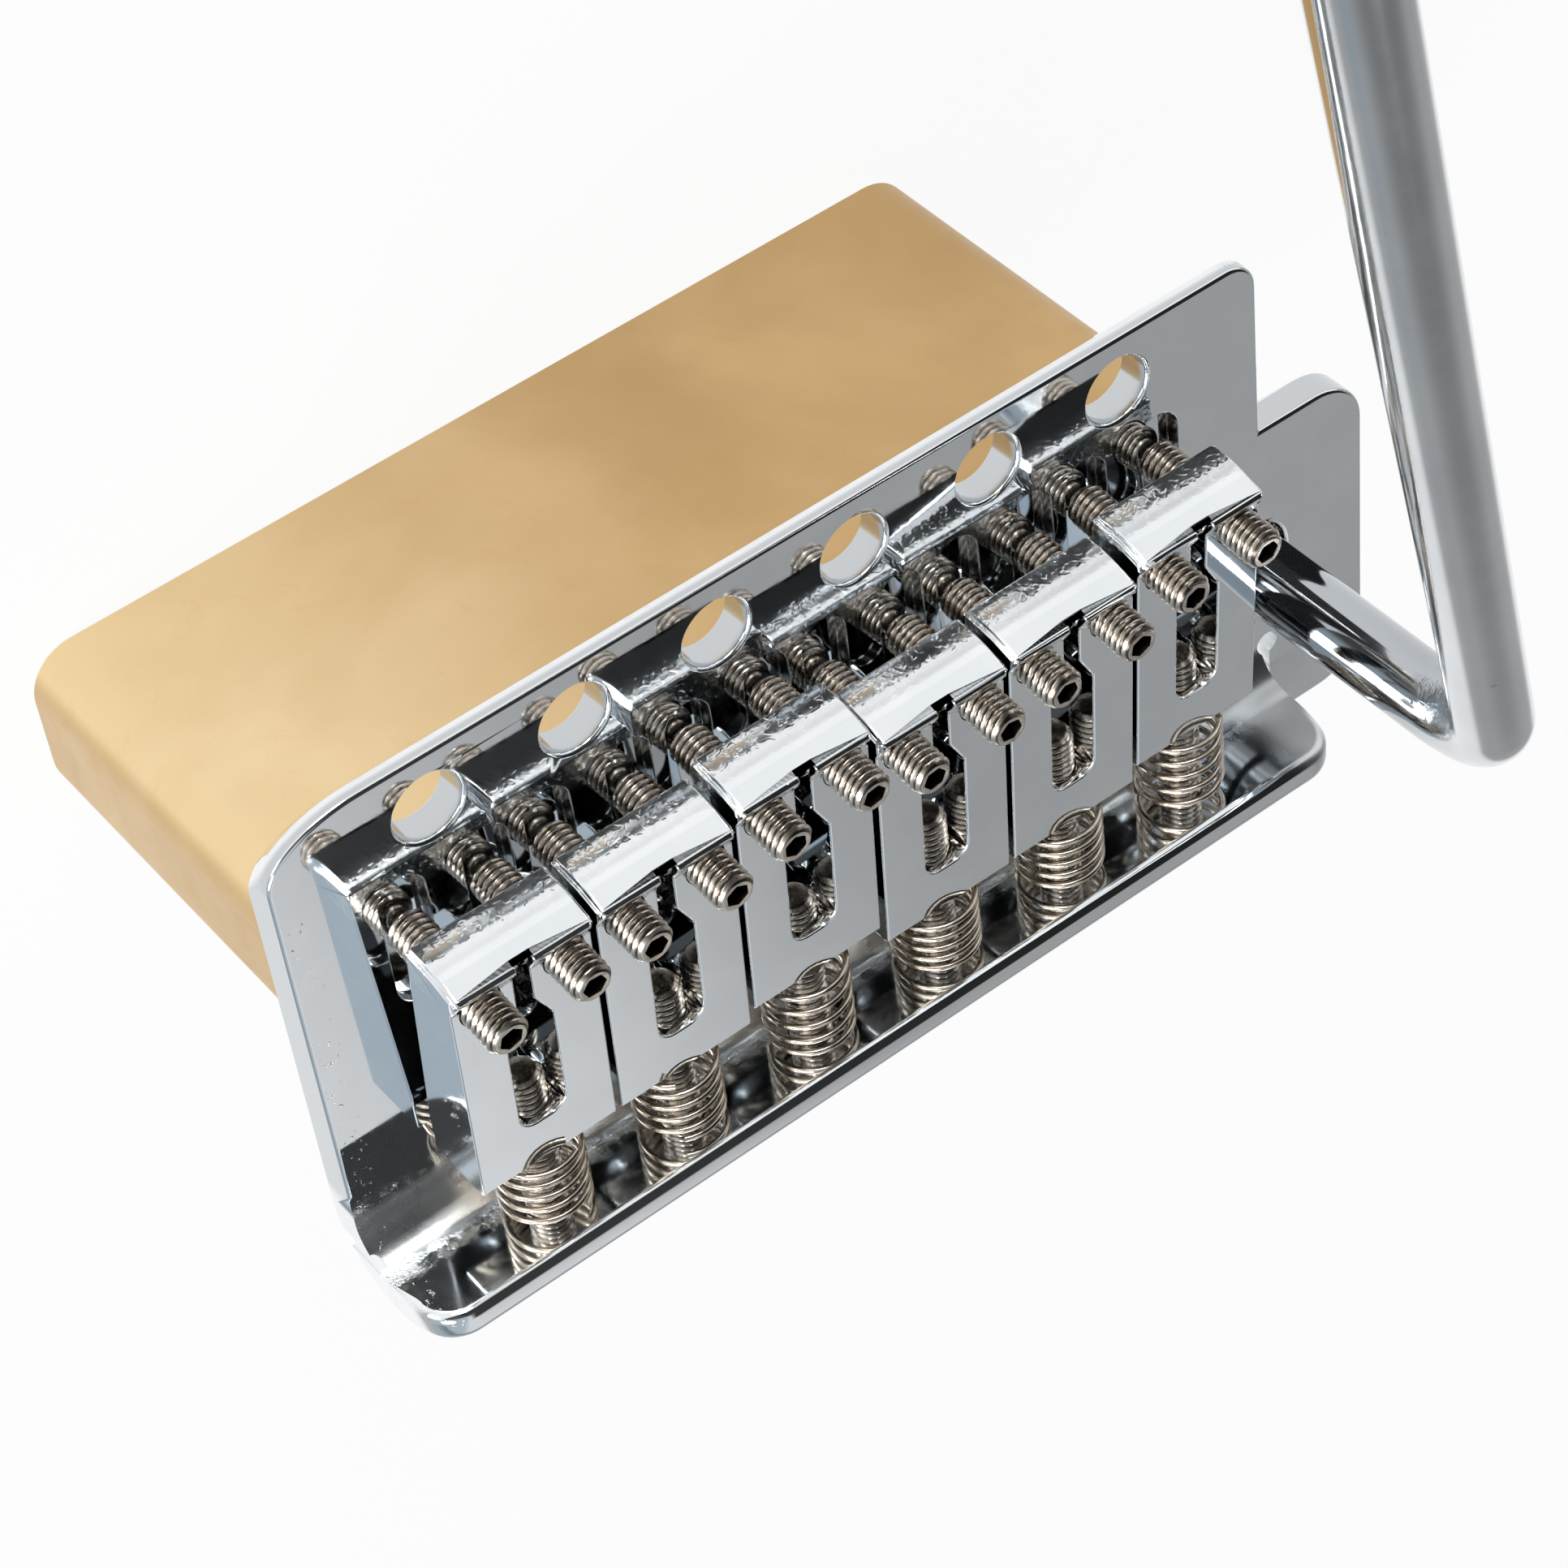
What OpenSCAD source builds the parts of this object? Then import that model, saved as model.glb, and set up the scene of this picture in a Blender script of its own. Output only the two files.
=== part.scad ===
// Guitar tremolo bridge: a bent plate on a solid block, six saddles and a swinging arm.
// Frame: X towards the treble side, Y towards the neck, Z up, away from the guitar's top.
// The origin is the centre of the row of six mounting holes, on the plate's underside.

/* [Strings] */
// Distance from one string to the next, which also spaces saddles and holes
string_pitch = 10.5; // [10.0:0.1:10.9]
// Diameter of the hole that each string runs through, in plate and block
string_hole_d = 2.2; // [1.8:0.1:2.4]
// Where the strings come up, behind the row of mounting holes
string_hole_y = -12.8; // [-13.2:0.1:-12.4]

/* [Base plate] */
// Thickness of the steel sheet
plate_t = 2.5; // [2.2:0.1:2.8]
// Left edge, on the bass side
plate_left_x = -37.4; // [-39.0:0.1:-36.8]
// Right edge beside the mounting holes
plate_right_x = 37.8; // [37.2:0.1:38.0]
// Front edge, towards the neck
plate_front_y = 4.2; // [3.8:0.1:5.0]
// Width of the swept corner at the front on the bass side
sweep_w = 7.0; // [5.0:0.1:9.0]
// Depth of that swept corner
sweep_d = 3.9; // [3.0:0.1:5.0]
// Radius of the front corner on the treble side
front_corner_r = 2.3; // [1.0:0.1:3.0]
// Height of the square edge that is left above the bevel under the front edge
front_edge_h = 1.1; // [0.8:0.1:1.6]
// Diameter of the six mounting holes
mount_hole_d = 4.8; // [4.2:0.1:5.0]
// Width of the small bevel round each mounting hole
mount_bevel = 0.3; // [0.1:0.05:0.4]

/* [Rear lip] */
// Outer face of the lip, the rearmost face of the bridge
lip_outer_y = -35.0; // [-35.6:0.1:-34.6]
// Height of the lip above the plate's underside
lip_top_z = 10.9; // [10.2:0.1:12.0]
// Inner radius of the bend between plate and lip
bend_r = 3.0; // [2.6:0.1:3.2]
// Radius of the lip's two upper corners
lip_corner_r = 3.0; // [2.0:0.1:5.0]
// Diameter of the small relief at the left end of the bend
relief_d = 1.2; // [0.8:0.1:2.0]
// Width of the slit between the lip and the tab
slit_w = 0.8; // [0.6:0.1:1.2]

/* [Treble tab] */
// Right edge of the tab that holds the arm
tab_right_x = 46.8; // [45.5:0.1:48.0]
// Front edge of the tab
tab_front_y = -10.6; // [-12.0:0.1:-10.0]
// Rear edge of the tab
tab_rear_y = -37.3; // [-38.5:0.1:-36.5]
// Radius of the tab's outer corners
tab_corner_r = 4.0; // [2.0:0.1:5.0]

/* [Height screw troughs] */
// Width of the shallow trough under each height screw
trough_w = 3.3; // [3.1:0.1:3.4]
// Depth of the trough
trough_depth = 1.0; // [0.6:0.1:1.2]
// Front end of the troughs
trough_front_y = -3.9; // [-4.0:0.1:-3.7]
// Rear end of the troughs
trough_rear_y = -14.2; // [-14.6:0.1:-13.8]

/* [Block] */
// Width of the block across the strings
block_w = 70.9; // [68.0:0.1:71.2]
// Front face of the block
block_front_y = -6.5; // [-7.0:0.1:-6.0]
// Thickness of the block along the strings
block_t = 12.4; // [12.2:0.1:12.6]
// Height of the block below the plate
block_h = 31.4; // [28.0:0.1:40.0]
// Radius of the block's four upright corners
block_corner_r = 3.5; // [3.4:0.1:4.5]
// Diameter of the well that swallows each string's ball end
ball_well_d = 7.4; // [7.0:0.1:7.6]
// Depth of that well from the bottom of the block
ball_well_depth = 20.0; // [14.0:0.5:20.5]
// Diameter of the five holes that take the tremolo springs
spring_hole_d = 3.0; // [2.6:0.1:3.2]
// Depth of the spring holes
spring_hole_depth = 8.0; // [6.0:0.5:9.0]
// Distance of the spring holes and block screws from the block's rear face
rear_row = 2.3; // [2.2:0.1:2.4]

/* [Block screws] */
// Thread diameter of the three countersunk screws
block_screw_d = 4.0; // [3.8:0.1:4.0]
// Head diameter
block_screw_head_d = 7.0; // [6.8:0.1:7.2]
// Length of the screws from the top of the head
block_screw_len = 13.0; // [10.0:0.5:13.5]

/* [Saddles] */
// Width of a saddle
saddle_w = 10.1; // [9.9:0.05:10.2]
// Height of the flat top at its rear end
saddle_rear_top_z = 8.72; // [8.7:0.01:8.9]
// Height of the flat top where it meets the crown
saddle_front_top_z = 9.75; // [9.7:0.05:10.0]
// Position of the rear face
saddle_rear_y = -26.2; // [-26.3:0.05:-26.0]
// Underside at the rear
saddle_rear_under_z = 3.5; // [3.4:0.05:3.7]
// Underside at the front
saddle_front_under_z = 5.5; // [5.3:0.1:5.7]
// Position of the nose, the foremost line of the saddle
nose_y = -5.95; // [-6.1:0.05:-5.8]
// Height of the nose
nose_z = 5.85; // [5.8:0.05:6.2]
// Radius of the rounded upper corners at both ends of the crown
crown_corner_r = 0.7; // [0.4:0.05:0.7]
// Position of the crown that the string bends over
crown_y = -7.1; // [-7.2:0.05:-7.0]
// Height of the crown
crown_z = 10.5; // [10.4:0.05:10.6]
// How far the front face swells forward between nose and crown
front_swell = 0.35; // [0.1:0.05:0.5]
// Width of the slot that the string passes through
slot_w = 3.4; // [3.2:0.05:3.4]
// Front end of the slot
slot_front_y = -11.3; // [-11.5:0.05:-11.2]
// Rear end of the slot
slot_rear_y = -22.4; // [-22.6:0.05:-22.2]
// Width of the groove from slot to crown
groove_w = 1.2; // [0.8:0.1:1.4]
// Depth of the string notch in the crown
notch_depth = 0.6; // [0.4:0.05:0.8]
// Shifts of the six saddles along the strings, from the bass side
saddle_shift = [0, 0, 1.0, -0.7, -0.55, 0.6];

/* [Height screws] */
// Diameter over the threads
height_screw_d = 2.9; // [2.8:0.05:2.95]
// Distance of each height screw from the string
height_screw_x = 3.0; // [2.95:0.05:3.1]
// Lean of the height screws, tops towards the rear
height_screw_lean = 5; // [4:0.5:6]
// Position of the screw's upper end
height_screw_top_y = -9.25; // [-9.4:0.05:-9.1]
// Height of the screw's upper end
height_screw_top_z = 12.85; // [12.5:0.05:13.1]
// Diameter of the blunt point that stands in the trough
height_point_d = 1.6; // [1.2:0.1:1.8]
// Length of the blunt point
height_point_len = 1.35; // [1.3:0.05:1.5]

/* [Length screws] */
// Diameter over the threads
length_screw_d = 2.9; // [2.8:0.05:2.95]
// Height of the screw's axis
length_screw_z = 6.8; // [6.6:0.05:6.9]
// Threaded end, seen in the saddle's slot
length_screw_end_y = -19.6; // [-20.0:0.1:-19.4]
// Head diameter
length_head_d = 5.4; // [5.0:0.1:5.8]
// Head thickness
length_head_t = 2.0; // [1.6:0.1:2.2]

/* [Length springs] */
// Outside diameter of the spring
spring_od = 6.1; // [5.6:0.1:6.1]
// Wire diameter
spring_wire = 0.45; // [0.4:0.05:0.5]
// Turns of each spring
spring_turns = 5; // [4:1:5]

/* [Arm] */
// Diameter of the bar
arm_d = 5.2; // [5.1:0.1:5.6]
// Distance of the arm's hole past the treble end of the block, which keeps its bush clear of the block
arm_past_block = 1.35; // [1.2:0.05:1.5]
// Distance of the arm's hole past the treble side of the last saddle
arm_past_saddle = 5.5; // [5.3:0.05:5.6]
// Position of the arm's hole along the strings
arm_y = -21.7; // [-21.9:0.05:-21.5]
// Diameter of the hole in the plate
arm_hole_d = 6.2; // [6.2:0.1:6.4]
// Height at which the two straight lengths of the bar would meet
arm_corner_z = 26.0; // [24.0:0.1:28.0]
// Centre line radius of the bend
arm_bend_r = 7.0; // [6.0:0.1:8.0]
// Swing of the bar from the X axis
arm_swing = 109.55; // [90:0.05:120]
// Rise of the bar above level
arm_rise = 12.2; // [8:0.1:16]
// Length of the bar from the corner to its end
arm_reach = 132; // [100:1:150]
// Diameter of the threaded end in the bush
arm_thread_d = 5.0; // [4.8:0.1:5.0]
// Outside diameter of the bush under the plate
bush_d = 8.0; // [7.8:0.1:8.1]
// Height of the bush
bush_h = 12.0; // [8.0:0.5:14.0]
// Diameter of the plastic tip
tip_d = 8.4; // [7.6:0.1:9.0]
// Length of the plastic tip
tip_len = 24; // [18:1:28]

/* [Fits] */
// Radial clearance of a screw that turns in its thread
thread_gap = 0.05; // [0.02:0.01:0.08]
// Gap between the height screws' points and the troughs
point_gap = 0.05; // [0.03:0.01:0.1]
// Gap under a bearing screw head
head_gap = 0.05; // [0.03:0.01:0.1]
// Gap between saddle and spring
spring_gap = 0.12; // [0.1:0.01:0.2]

/* [Hidden] */
round_fn = 64;
over = 1;
lip_inner_y = lip_outer_y + plate_t;
bend_y = lip_inner_y + bend_r;
slit_x = -plate_left_x;
slit_end_y = bend_y - over + 0.6;
block_rear_y = block_front_y - block_t;
row_y = block_rear_y + rear_row;
lean_tan = tan(height_screw_lean);
point_z = plate_t - trough_depth + point_gap;
height_screw_len = (height_screw_top_z - point_z) / cos(height_screw_lean);
arm_x = max(block_w / 2 + arm_past_block, 2.5 * string_pitch + saddle_w / 2 + arm_past_saddle);
bar_bend_angle = 90 - arm_rise;
bar_tangent = arm_bend_r * tan(bar_bend_angle / 2);
spring_r = (spring_od - spring_wire) / 2;
spring_seat_y = lip_inner_y + 0.62 + spring_wire / 2;
curl_steps = 8;

function string_x(k) = (k - 3.5) * string_pitch;
function mix(a, b, t) = a + (b - a) * t;

// Side view of a saddle as points in Y and Z, before its shift.
saddle_side = concat(
    [[saddle_rear_y + 0.1, saddle_rear_under_z], [saddle_rear_y + 3.1, saddle_rear_under_z],
     [nose_y - 1.0, saddle_front_under_z], [nose_y - 0.35, saddle_front_under_z + 0.02],
     [nose_y - 0.12, saddle_front_under_z + 0.12]],
    [for (i = [0:8]) let (t = i / 8)
        [mix(nose_y, crown_y + 0.2, t) + front_swell * 4 * t * (1 - t), mix(nose_z, crown_z - 0.15, t)]],
    [[crown_y - 0.05, crown_z], [crown_y - 0.3, crown_z - 0.03], [crown_y - 1.25, saddle_front_top_z + 0.05],
     [crown_y - 1.5, saddle_front_top_z], [saddle_rear_y + 0.25, saddle_rear_top_z],
     [saddle_rear_y, saddle_rear_top_z - 0.2]]);

module along_x(x0, x1) {
    translate([x0, 0, 0]) rotate([90, 0, 90]) linear_extrude(x1 - x0) children();
}

module hole_z(d, x, y, z0, z1) {
    translate([x, y, z0]) cylinder(h = z1 - z0, d = d, $fn = round_fn);
}

module corner_tool(r, h) {
    difference() {
        translate([0, 0, -over]) cube([r + over, r + over, h + 2 * over]);
        translate([0, 0, -2 * over]) cylinder(h = h + 4 * over, r = r, $fn = round_fn);
    }
}

// The swept corner is a quarter of an ellipse in plan, drawn as short straights.
module sweep_tool() {
    cx = plate_left_x + sweep_w;
    cy = plate_front_y - sweep_d;
    translate([0, 0, -over]) linear_extrude(plate_t + 2 * over)
        polygon(concat([for (i = [0:16]) let (a = 90 + i * 90 / 16) [cx + sweep_w * cos(a), cy + sweep_d * sin(a)]],
                       [[plate_left_x - over, cy], [plate_left_x - over, plate_front_y + over],
                        [cx, plate_front_y + over]]));
}

// The bevel under the front edge slopes at 45 degrees and follows the outline round both corners.
module under_bevel() {
    drop = plate_t - front_edge_h;
    rx = plate_right_x - front_corner_r;
    sweep_y = plate_front_y - sweep_d - drop;
    round_y = plate_front_y - front_corner_r - drop;
    rotate([-45, 0, 0]) translate([0, 0, -4 * plate_t]) linear_extrude(8 * plate_t) scale([1, sqrt(0.5)])
        polygon(concat([for (i = [0:16]) let (a = 180 - i * 90 / 16)
                           [plate_left_x + sweep_w + sweep_w * cos(a), sweep_y + sweep_d * sin(a)]],
                       [for (i = [0:8]) let (a = 90 - i * 90 / 8)
                           [rx + front_corner_r * cos(a), round_y + front_corner_r * sin(a)]],
                       [[plate_right_x + over, round_y], [plate_right_x + over, plate_front_y + 4 * plate_t],
                        [plate_left_x - over, plate_front_y + 4 * plate_t], [plate_left_x - over, sweep_y]]));
}

module flat_sheet() {
    difference() {
        union() {
            translate([plate_left_x, bend_y - 0.01, 0])
                cube([plate_right_x - plate_left_x, plate_front_y - bend_y + 0.01, plate_t]);
            translate([slit_x + slit_w, tab_rear_y, 0])
                cube([tab_right_x - slit_x - slit_w, tab_front_y - tab_rear_y, plate_t]);
            translate([slit_x - over, slit_end_y, 0])
                cube([slit_w + 2 * over, tab_front_y - slit_end_y, plate_t]);
        }
        sweep_tool();
        translate([plate_right_x - front_corner_r, plate_front_y - front_corner_r, 0])
            corner_tool(front_corner_r, plate_t);
        translate([tab_right_x - tab_corner_r, tab_front_y - tab_corner_r, 0])
            corner_tool(tab_corner_r, plate_t);
        translate([tab_right_x - tab_corner_r, tab_rear_y + tab_corner_r, 0]) rotate([0, 0, -90])
            corner_tool(tab_corner_r, plate_t);
        under_bevel();
    }
}

module bent_lip() {
    difference() {
        along_x(plate_left_x, slit_x) difference() {
            translate([lip_outer_y, 0]) square([bend_y - lip_outer_y, lip_top_z]);
            translate([bend_y, bend_r + plate_t]) circle(r = bend_r, $fn = round_fn);
            translate([lip_inner_y, bend_r + plate_t]) square([bend_r + over, lip_top_z]);
            difference() {
                translate([lip_outer_y - over, -over]) square([plate_t + bend_r + over, plate_t + bend_r + over]);
                translate([bend_y, bend_r + plate_t]) circle(r = bend_r + plate_t, $fn = round_fn);
            }
        }
        for (s = [-1, 1])
            translate([s * (slit_x - lip_corner_r), lip_outer_y - over, lip_top_z - lip_corner_r])
                rotate([90, s > 0 ? 0 : -90, 0]) translate([0, 0, -plate_t - 2 * over])
                    corner_tool(lip_corner_r, plate_t + 2 * over);
    }
}

module trough(x) {
    r = trough_w / 2;
    z = plate_t - trough_depth;
    translate([x - r, trough_rear_y + r, z]) cube([trough_w, trough_front_y - trough_rear_y - trough_w, plate_t]);
    hole_z(trough_w, x, trough_front_y - r, z, z + plate_t);
    hole_z(trough_w, x, trough_rear_y + r, z, z + plate_t);
}

module base_plate() {
    color([0.80, 0.82, 0.85]) difference() {
        union() {
            flat_sheet();
            bent_lip();
        }
        for (k = [1:6]) {
            hole_z(mount_hole_d, string_x(k), 0, -over, plate_t + over);
            translate([string_x(k), 0, plate_t - mount_bevel])
                cylinder(h = mount_bevel + 0.01, d1 = mount_hole_d, d2 = mount_hole_d + 2 * mount_bevel + 0.02,
                         $fn = round_fn);
            hole_z(string_hole_d, string_x(k), string_hole_y, -over, plate_t + over);
            trough(string_x(k) - height_screw_x);
            trough(string_x(k) + height_screw_x);
            translate([string_x(k), lip_inner_y + over, length_screw_z]) rotate([90, 0, 0])
                cylinder(h = plate_t + 2 * over, d = length_screw_d + 2 * thread_gap, $fn = round_fn);
        }
        for (i = [-1:1]) {
            hole_z(block_screw_d + 2 * thread_gap, 2 * i * string_pitch, row_y, -over, plate_t + over);
            translate([2 * i * string_pitch, row_y, plate_t - (block_screw_head_d - block_screw_d) / 2])
                cylinder(h = (block_screw_head_d - block_screw_d) / 2 + 0.01,
                         d1 = block_screw_d + 2 * thread_gap, d2 = block_screw_head_d + 2 * thread_gap + 0.02,
                         $fn = round_fn);
        }
        hole_z(arm_hole_d, arm_x, arm_y, -over, plate_t + over);
        hole_z(relief_d, plate_left_x, lip_inner_y - 0.4 + relief_d / 2, -over, plate_t + 2 * over);
        hole_z(1.8, slit_x + slit_w / 2 + 0.2, slit_end_y, -over, plate_t + over);
    }
}

module tremolo_block() {
    color([0.80, 0.62, 0.28]) difference() {
        translate([-block_w / 2, block_rear_y, -block_h]) cube([block_w, block_t, block_h]);
        for (a = [0, 180]) translate([0, (block_front_y + block_rear_y) / 2, -block_h]) rotate([0, 0, a]) {
            translate([block_w / 2 - block_corner_r, block_t / 2 - block_corner_r, 0])
                corner_tool(block_corner_r, block_h);
            translate([block_corner_r - block_w / 2, block_t / 2 - block_corner_r, 0]) rotate([0, 0, 90])
                corner_tool(block_corner_r, block_h);
        }
        for (k = [1:6]) {
            hole_z(string_hole_d, string_x(k), string_hole_y, -block_h - over, over);
            hole_z(ball_well_d, string_x(k), string_hole_y, -block_h - over, ball_well_depth - block_h);
        }
        for (i = [-2:2]) hole_z(spring_hole_d, i * string_pitch, row_y, -block_h - over, spring_hole_depth - block_h);
        for (i = [-1:1])
            hole_z(block_screw_d + 2 * thread_gap, 2 * i * string_pitch, row_y, plate_t - block_screw_len - over, over);
    }
}

module block_screws() {
    cone = (block_screw_head_d - block_screw_d) / 2;
    color([0.45, 0.44, 0.43]) for (i = [-1:1]) {
        hole_z(block_screw_d, 2 * i * string_pitch, row_y, plate_t - block_screw_len, plate_t - cone);
        translate([2 * i * string_pitch, row_y, plate_t - cone])
            cylinder(h = cone, d1 = block_screw_d, d2 = block_screw_head_d, $fn = round_fn);
    }
}

module arm_bush() {
    color([0.55, 0.55, 0.56]) difference() {
        hole_z(bush_d, arm_x, arm_y, -bush_h, 0);
        hole_z(arm_thread_d + 2 * thread_gap, arm_x, arm_y, -bush_h - over, over);
    }
}

// Places its children at the bar's corner, with X along the bar's length.
module on_bar(distance) {
    translate([arm_x, arm_y, arm_corner_z]) rotate([0, 0, arm_swing]) rotate([0, -arm_rise, 0])
        translate([distance, 0, 0]) rotate([0, 90, 0]) children();
}

module tremolo_arm() {
    turn = 180 - bar_bend_angle;
    color([0.80, 0.82, 0.85]) translate([arm_x, arm_y, arm_corner_z - bar_tangent]) rotate([0, 0, arm_swing]) {
        translate([0, 0, bar_tangent - arm_corner_z - bush_h]) cylinder(h = bush_h + 0.4, d = arm_thread_d, $fn = round_fn);
        translate([0, 0, bar_tangent - arm_corner_z + 0.35])
            cylinder(h = arm_corner_z - bar_tangent - 0.35, d = arm_d, $fn = round_fn);
        translate([arm_bend_r, 0, 0]) rotate([90, 0, 0]) intersection() {
            rotate_extrude($fn = round_fn) translate([arm_bend_r, 0]) circle(d = arm_d, $fn = round_fn);
            linear_extrude(2 * arm_d, center = true) scale(3 * arm_bend_r)
                polygon([[0, 0], [-1, 0], [cos(turn), sin(turn)]]);
        }
        translate([arm_bend_r, 0, 0]) rotate([0, -turn, 0])
            translate([arm_bend_r, 0, bar_tangent - arm_reach])
                cylinder(h = arm_reach - bar_tangent, d = arm_d, $fn = round_fn);
    }
}

module arm_tip() {
    color([0.08, 0.08, 0.08]) on_bar(arm_reach - tip_len + 4) difference() {
        union() {
            cylinder(h = 3, d1 = tip_d - 1.4, d2 = tip_d, $fn = round_fn);
            translate([0, 0, 3]) cylinder(h = tip_len - 3 - tip_d / 2, d = tip_d, $fn = round_fn);
            translate([0, 0, tip_len - tip_d / 2]) sphere(d = tip_d, $fn = round_fn);
        }
        translate([0, 0, -over]) cylinder(h = tip_len - 4 + over + 0.3, d = arm_d + 0.04, $fn = round_fn);
    }
}

module height_axis(k, side) {
    translate([string_x(k) + side * height_screw_x, saddle_shift[k - 1] + height_screw_top_y, height_screw_top_z])
        rotate([height_screw_lean, 0, 0]) children();
}

// What a rounded corner of the crown leaves out, seen from the front.
module crown_corner(side) {
    mirror([side < 0 ? 1 : 0, 0]) translate([saddle_w / 2 - crown_corner_r, crown_z - crown_corner_r])
        difference() {
            square(crown_corner_r + over);
            circle(r = crown_corner_r, $fn = round_fn);
        }
}

module saddle(k) {
    color([0.80, 0.82, 0.85]) translate([string_x(k), saddle_shift[k - 1], 0]) difference() {
        along_x(-saddle_w / 2, saddle_w / 2) polygon(saddle_side);
        for (s = [-1, 1]) {
            along_x(s > 0 ? saddle_w / 2 - 0.25 : -saddle_w / 2 - over, s > 0 ? saddle_w / 2 + over : 0.25 - saddle_w / 2)
                polygon([[nose_y - 0.25, 0], [nose_y + over, 0], [nose_y + over, crown_z + over],
                         [crown_y - 0.05, crown_z + over], [crown_y - 0.05, crown_z - 0.3],
                         [crown_y + 0.0, crown_z - 0.3], [mix(nose_y, crown_y, 0.5), mix(nose_z, crown_z, 0.5)],
                         [nose_y - 0.3, nose_z]]);
            rotate([90, 0, 0]) translate([0, 0, -nose_y - over]) linear_extrude(nose_y - crown_y + 2.5)
                crown_corner(s);
            translate([s * height_screw_x, height_screw_top_y, height_screw_top_z]) rotate([height_screw_lean, 0, 0])
                translate([0, 0, -height_screw_len])
                    cylinder(h = height_screw_len, d = height_screw_d + 2 * thread_gap, $fn = round_fn);
        }
        translate([-slot_w / 2, slot_rear_y + 1.2, 0]) cube([slot_w, slot_front_y - 2.1 - slot_rear_y - 1.2, 12]);
        translate([1.2 - slot_w / 2, slot_rear_y, 0]) cube([slot_w - 2.4, 1.3, 12]);
        for (s = [-1, 1]) hole_z(2.4, s * (slot_w / 2 - 1.2), slot_rear_y + 1.2, 0, 12);
        linear_extrude(12)
            polygon([[-slot_w / 2, slot_front_y - 2.11], [slot_w / 2, slot_front_y - 2.11],
                     [groove_w / 2, slot_front_y], [-groove_w / 2, slot_front_y]]);
        along_x(-groove_w / 2, groove_w / 2)
            polygon([[slot_front_y - 0.5, 12], [slot_front_y - 0.5, 6.5], [slot_front_y + 0.1, 6.5],
                     [crown_y - 1.0, crown_z - notch_depth - 0.45], [crown_y + 0.2, crown_z - notch_depth + 0.05],
                     [crown_y + 0.7, crown_z - notch_depth + 0.1], [crown_y + 0.7, 12]]);
        translate([0, saddle_rear_y - over, length_screw_z]) rotate([-90, 0, 0])
            cylinder(h = 5 + over, d = length_screw_d + 2 * thread_gap, $fn = round_fn);
    }
}

module length_screw(k) {
    color([0.62, 0.57, 0.50]) translate([string_x(k), 0, length_screw_z]) rotate([90, 0, 0]) {
        translate([0, 0, -length_screw_end_y])
            cylinder(h = length_screw_end_y - lip_outer_y + 0.2, d = length_screw_d, $fn = round_fn);
        translate([0, 0, -lip_outer_y + head_gap]) cylinder(h = length_head_t, d = length_head_d, $fn = round_fn);
    }
}

module height_screw(k, side) {
    point = height_point_len;
    color([0.62, 0.57, 0.50]) height_axis(k, side) {
        translate([0, 0, point - height_screw_len])
            cylinder(h = height_screw_len - point, d = height_screw_d, $fn = round_fn);
        translate([0, 0, 0.08 - height_screw_len]) cylinder(h = point, d = height_point_d, $fn = round_fn);
    }
}

// Centre line and skin of a spring: one unbroken tube along Y from the saddle to the lip.
function spring_start(k) = saddle_rear_y + saddle_shift[k - 1] - spring_gap - spring_wire / 2;
function spring_pitch(k) = (spring_start(k) - spring_seat_y) / spring_turns;
function coil_at(k, a) = [spring_r * cos(a), spring_start(k) - spring_pitch(k) * a / 360, spring_r * sin(a)];
function coil_way(k, a) = let (v = [-spring_r * sin(a), -spring_pitch(k) / (2 * PI), spring_r * cos(a)]) v / norm(v);
function coil_point(k, a, b) = let (c = coil_at(k, a), t = coil_way(k, a), n = [cos(a), 0, sin(a)], m = cross(t, n))
    c + spring_wire / 2 * (cos(b) * n + sin(b) * m);
spring_rings = spring_turns * curl_steps;
spring_faces = concat([[for (j = [0:5]) 5 - j]],
    [for (i = [0:spring_rings - 1]) for (j = [0:5]) [i * 6 + j, i * 6 + (j + 1) % 6, (i + 1) * 6 + j]],
    [for (i = [0:spring_rings - 1]) for (j = [0:5])
        [i * 6 + (j + 1) % 6, (i + 1) * 6 + (j + 1) % 6, (i + 1) * 6 + j]],
    [[for (j = [0:5]) spring_rings * 6 + j]]);

module length_spring(k) {
    color([0.66, 0.60, 0.52]) translate([string_x(k), 0, length_screw_z])
        polyhedron(points = [for (i = [0:spring_rings]) for (j = [0:5]) coil_point(k, i * 360 / curl_steps, j * 60)],
                   faces = spring_faces);
}

// Least gap of each spring to itself, measured on points one turn apart or more.
function own_gap(k) = min([for (i = [0:curl_steps - 1]) for (d = [curl_steps - 2:curl_steps + 2])
    norm(coil_at(k, i * 45) - coil_at(k, (i + d) * 45))]) - spring_wire;
for (k = [1:6]) echo(str("length_spring_", k, " least gap to itself mm"), own_gap(k));

base_plate();
tremolo_block();
block_screws();
arm_bush();
tremolo_arm();
arm_tip();
saddle(1);  // saddle_1
saddle(2);  // saddle_2
saddle(3);  // saddle_3
saddle(4);  // saddle_4
saddle(5);  // saddle_5
saddle(6);  // saddle_6
length_screw(1);  // length_screw_1
length_screw(2);  // length_screw_2
length_screw(3);  // length_screw_3
length_screw(4);  // length_screw_4
length_screw(5);  // length_screw_5
length_screw(6);  // length_screw_6
length_spring(1);  // length_spring_1
length_spring(2);  // length_spring_2
length_spring(3);  // length_spring_3
length_spring(4);  // length_spring_4
length_spring(5);  // length_spring_5
length_spring(6);  // length_spring_6
height_screw(1, -1);  // height_screw_1_bass
height_screw(1, 1);  // height_screw_1_treble
height_screw(2, -1);  // height_screw_2_bass
height_screw(2, 1);  // height_screw_2_treble
height_screw(3, -1);  // height_screw_3_bass
height_screw(3, 1);  // height_screw_3_treble
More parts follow.
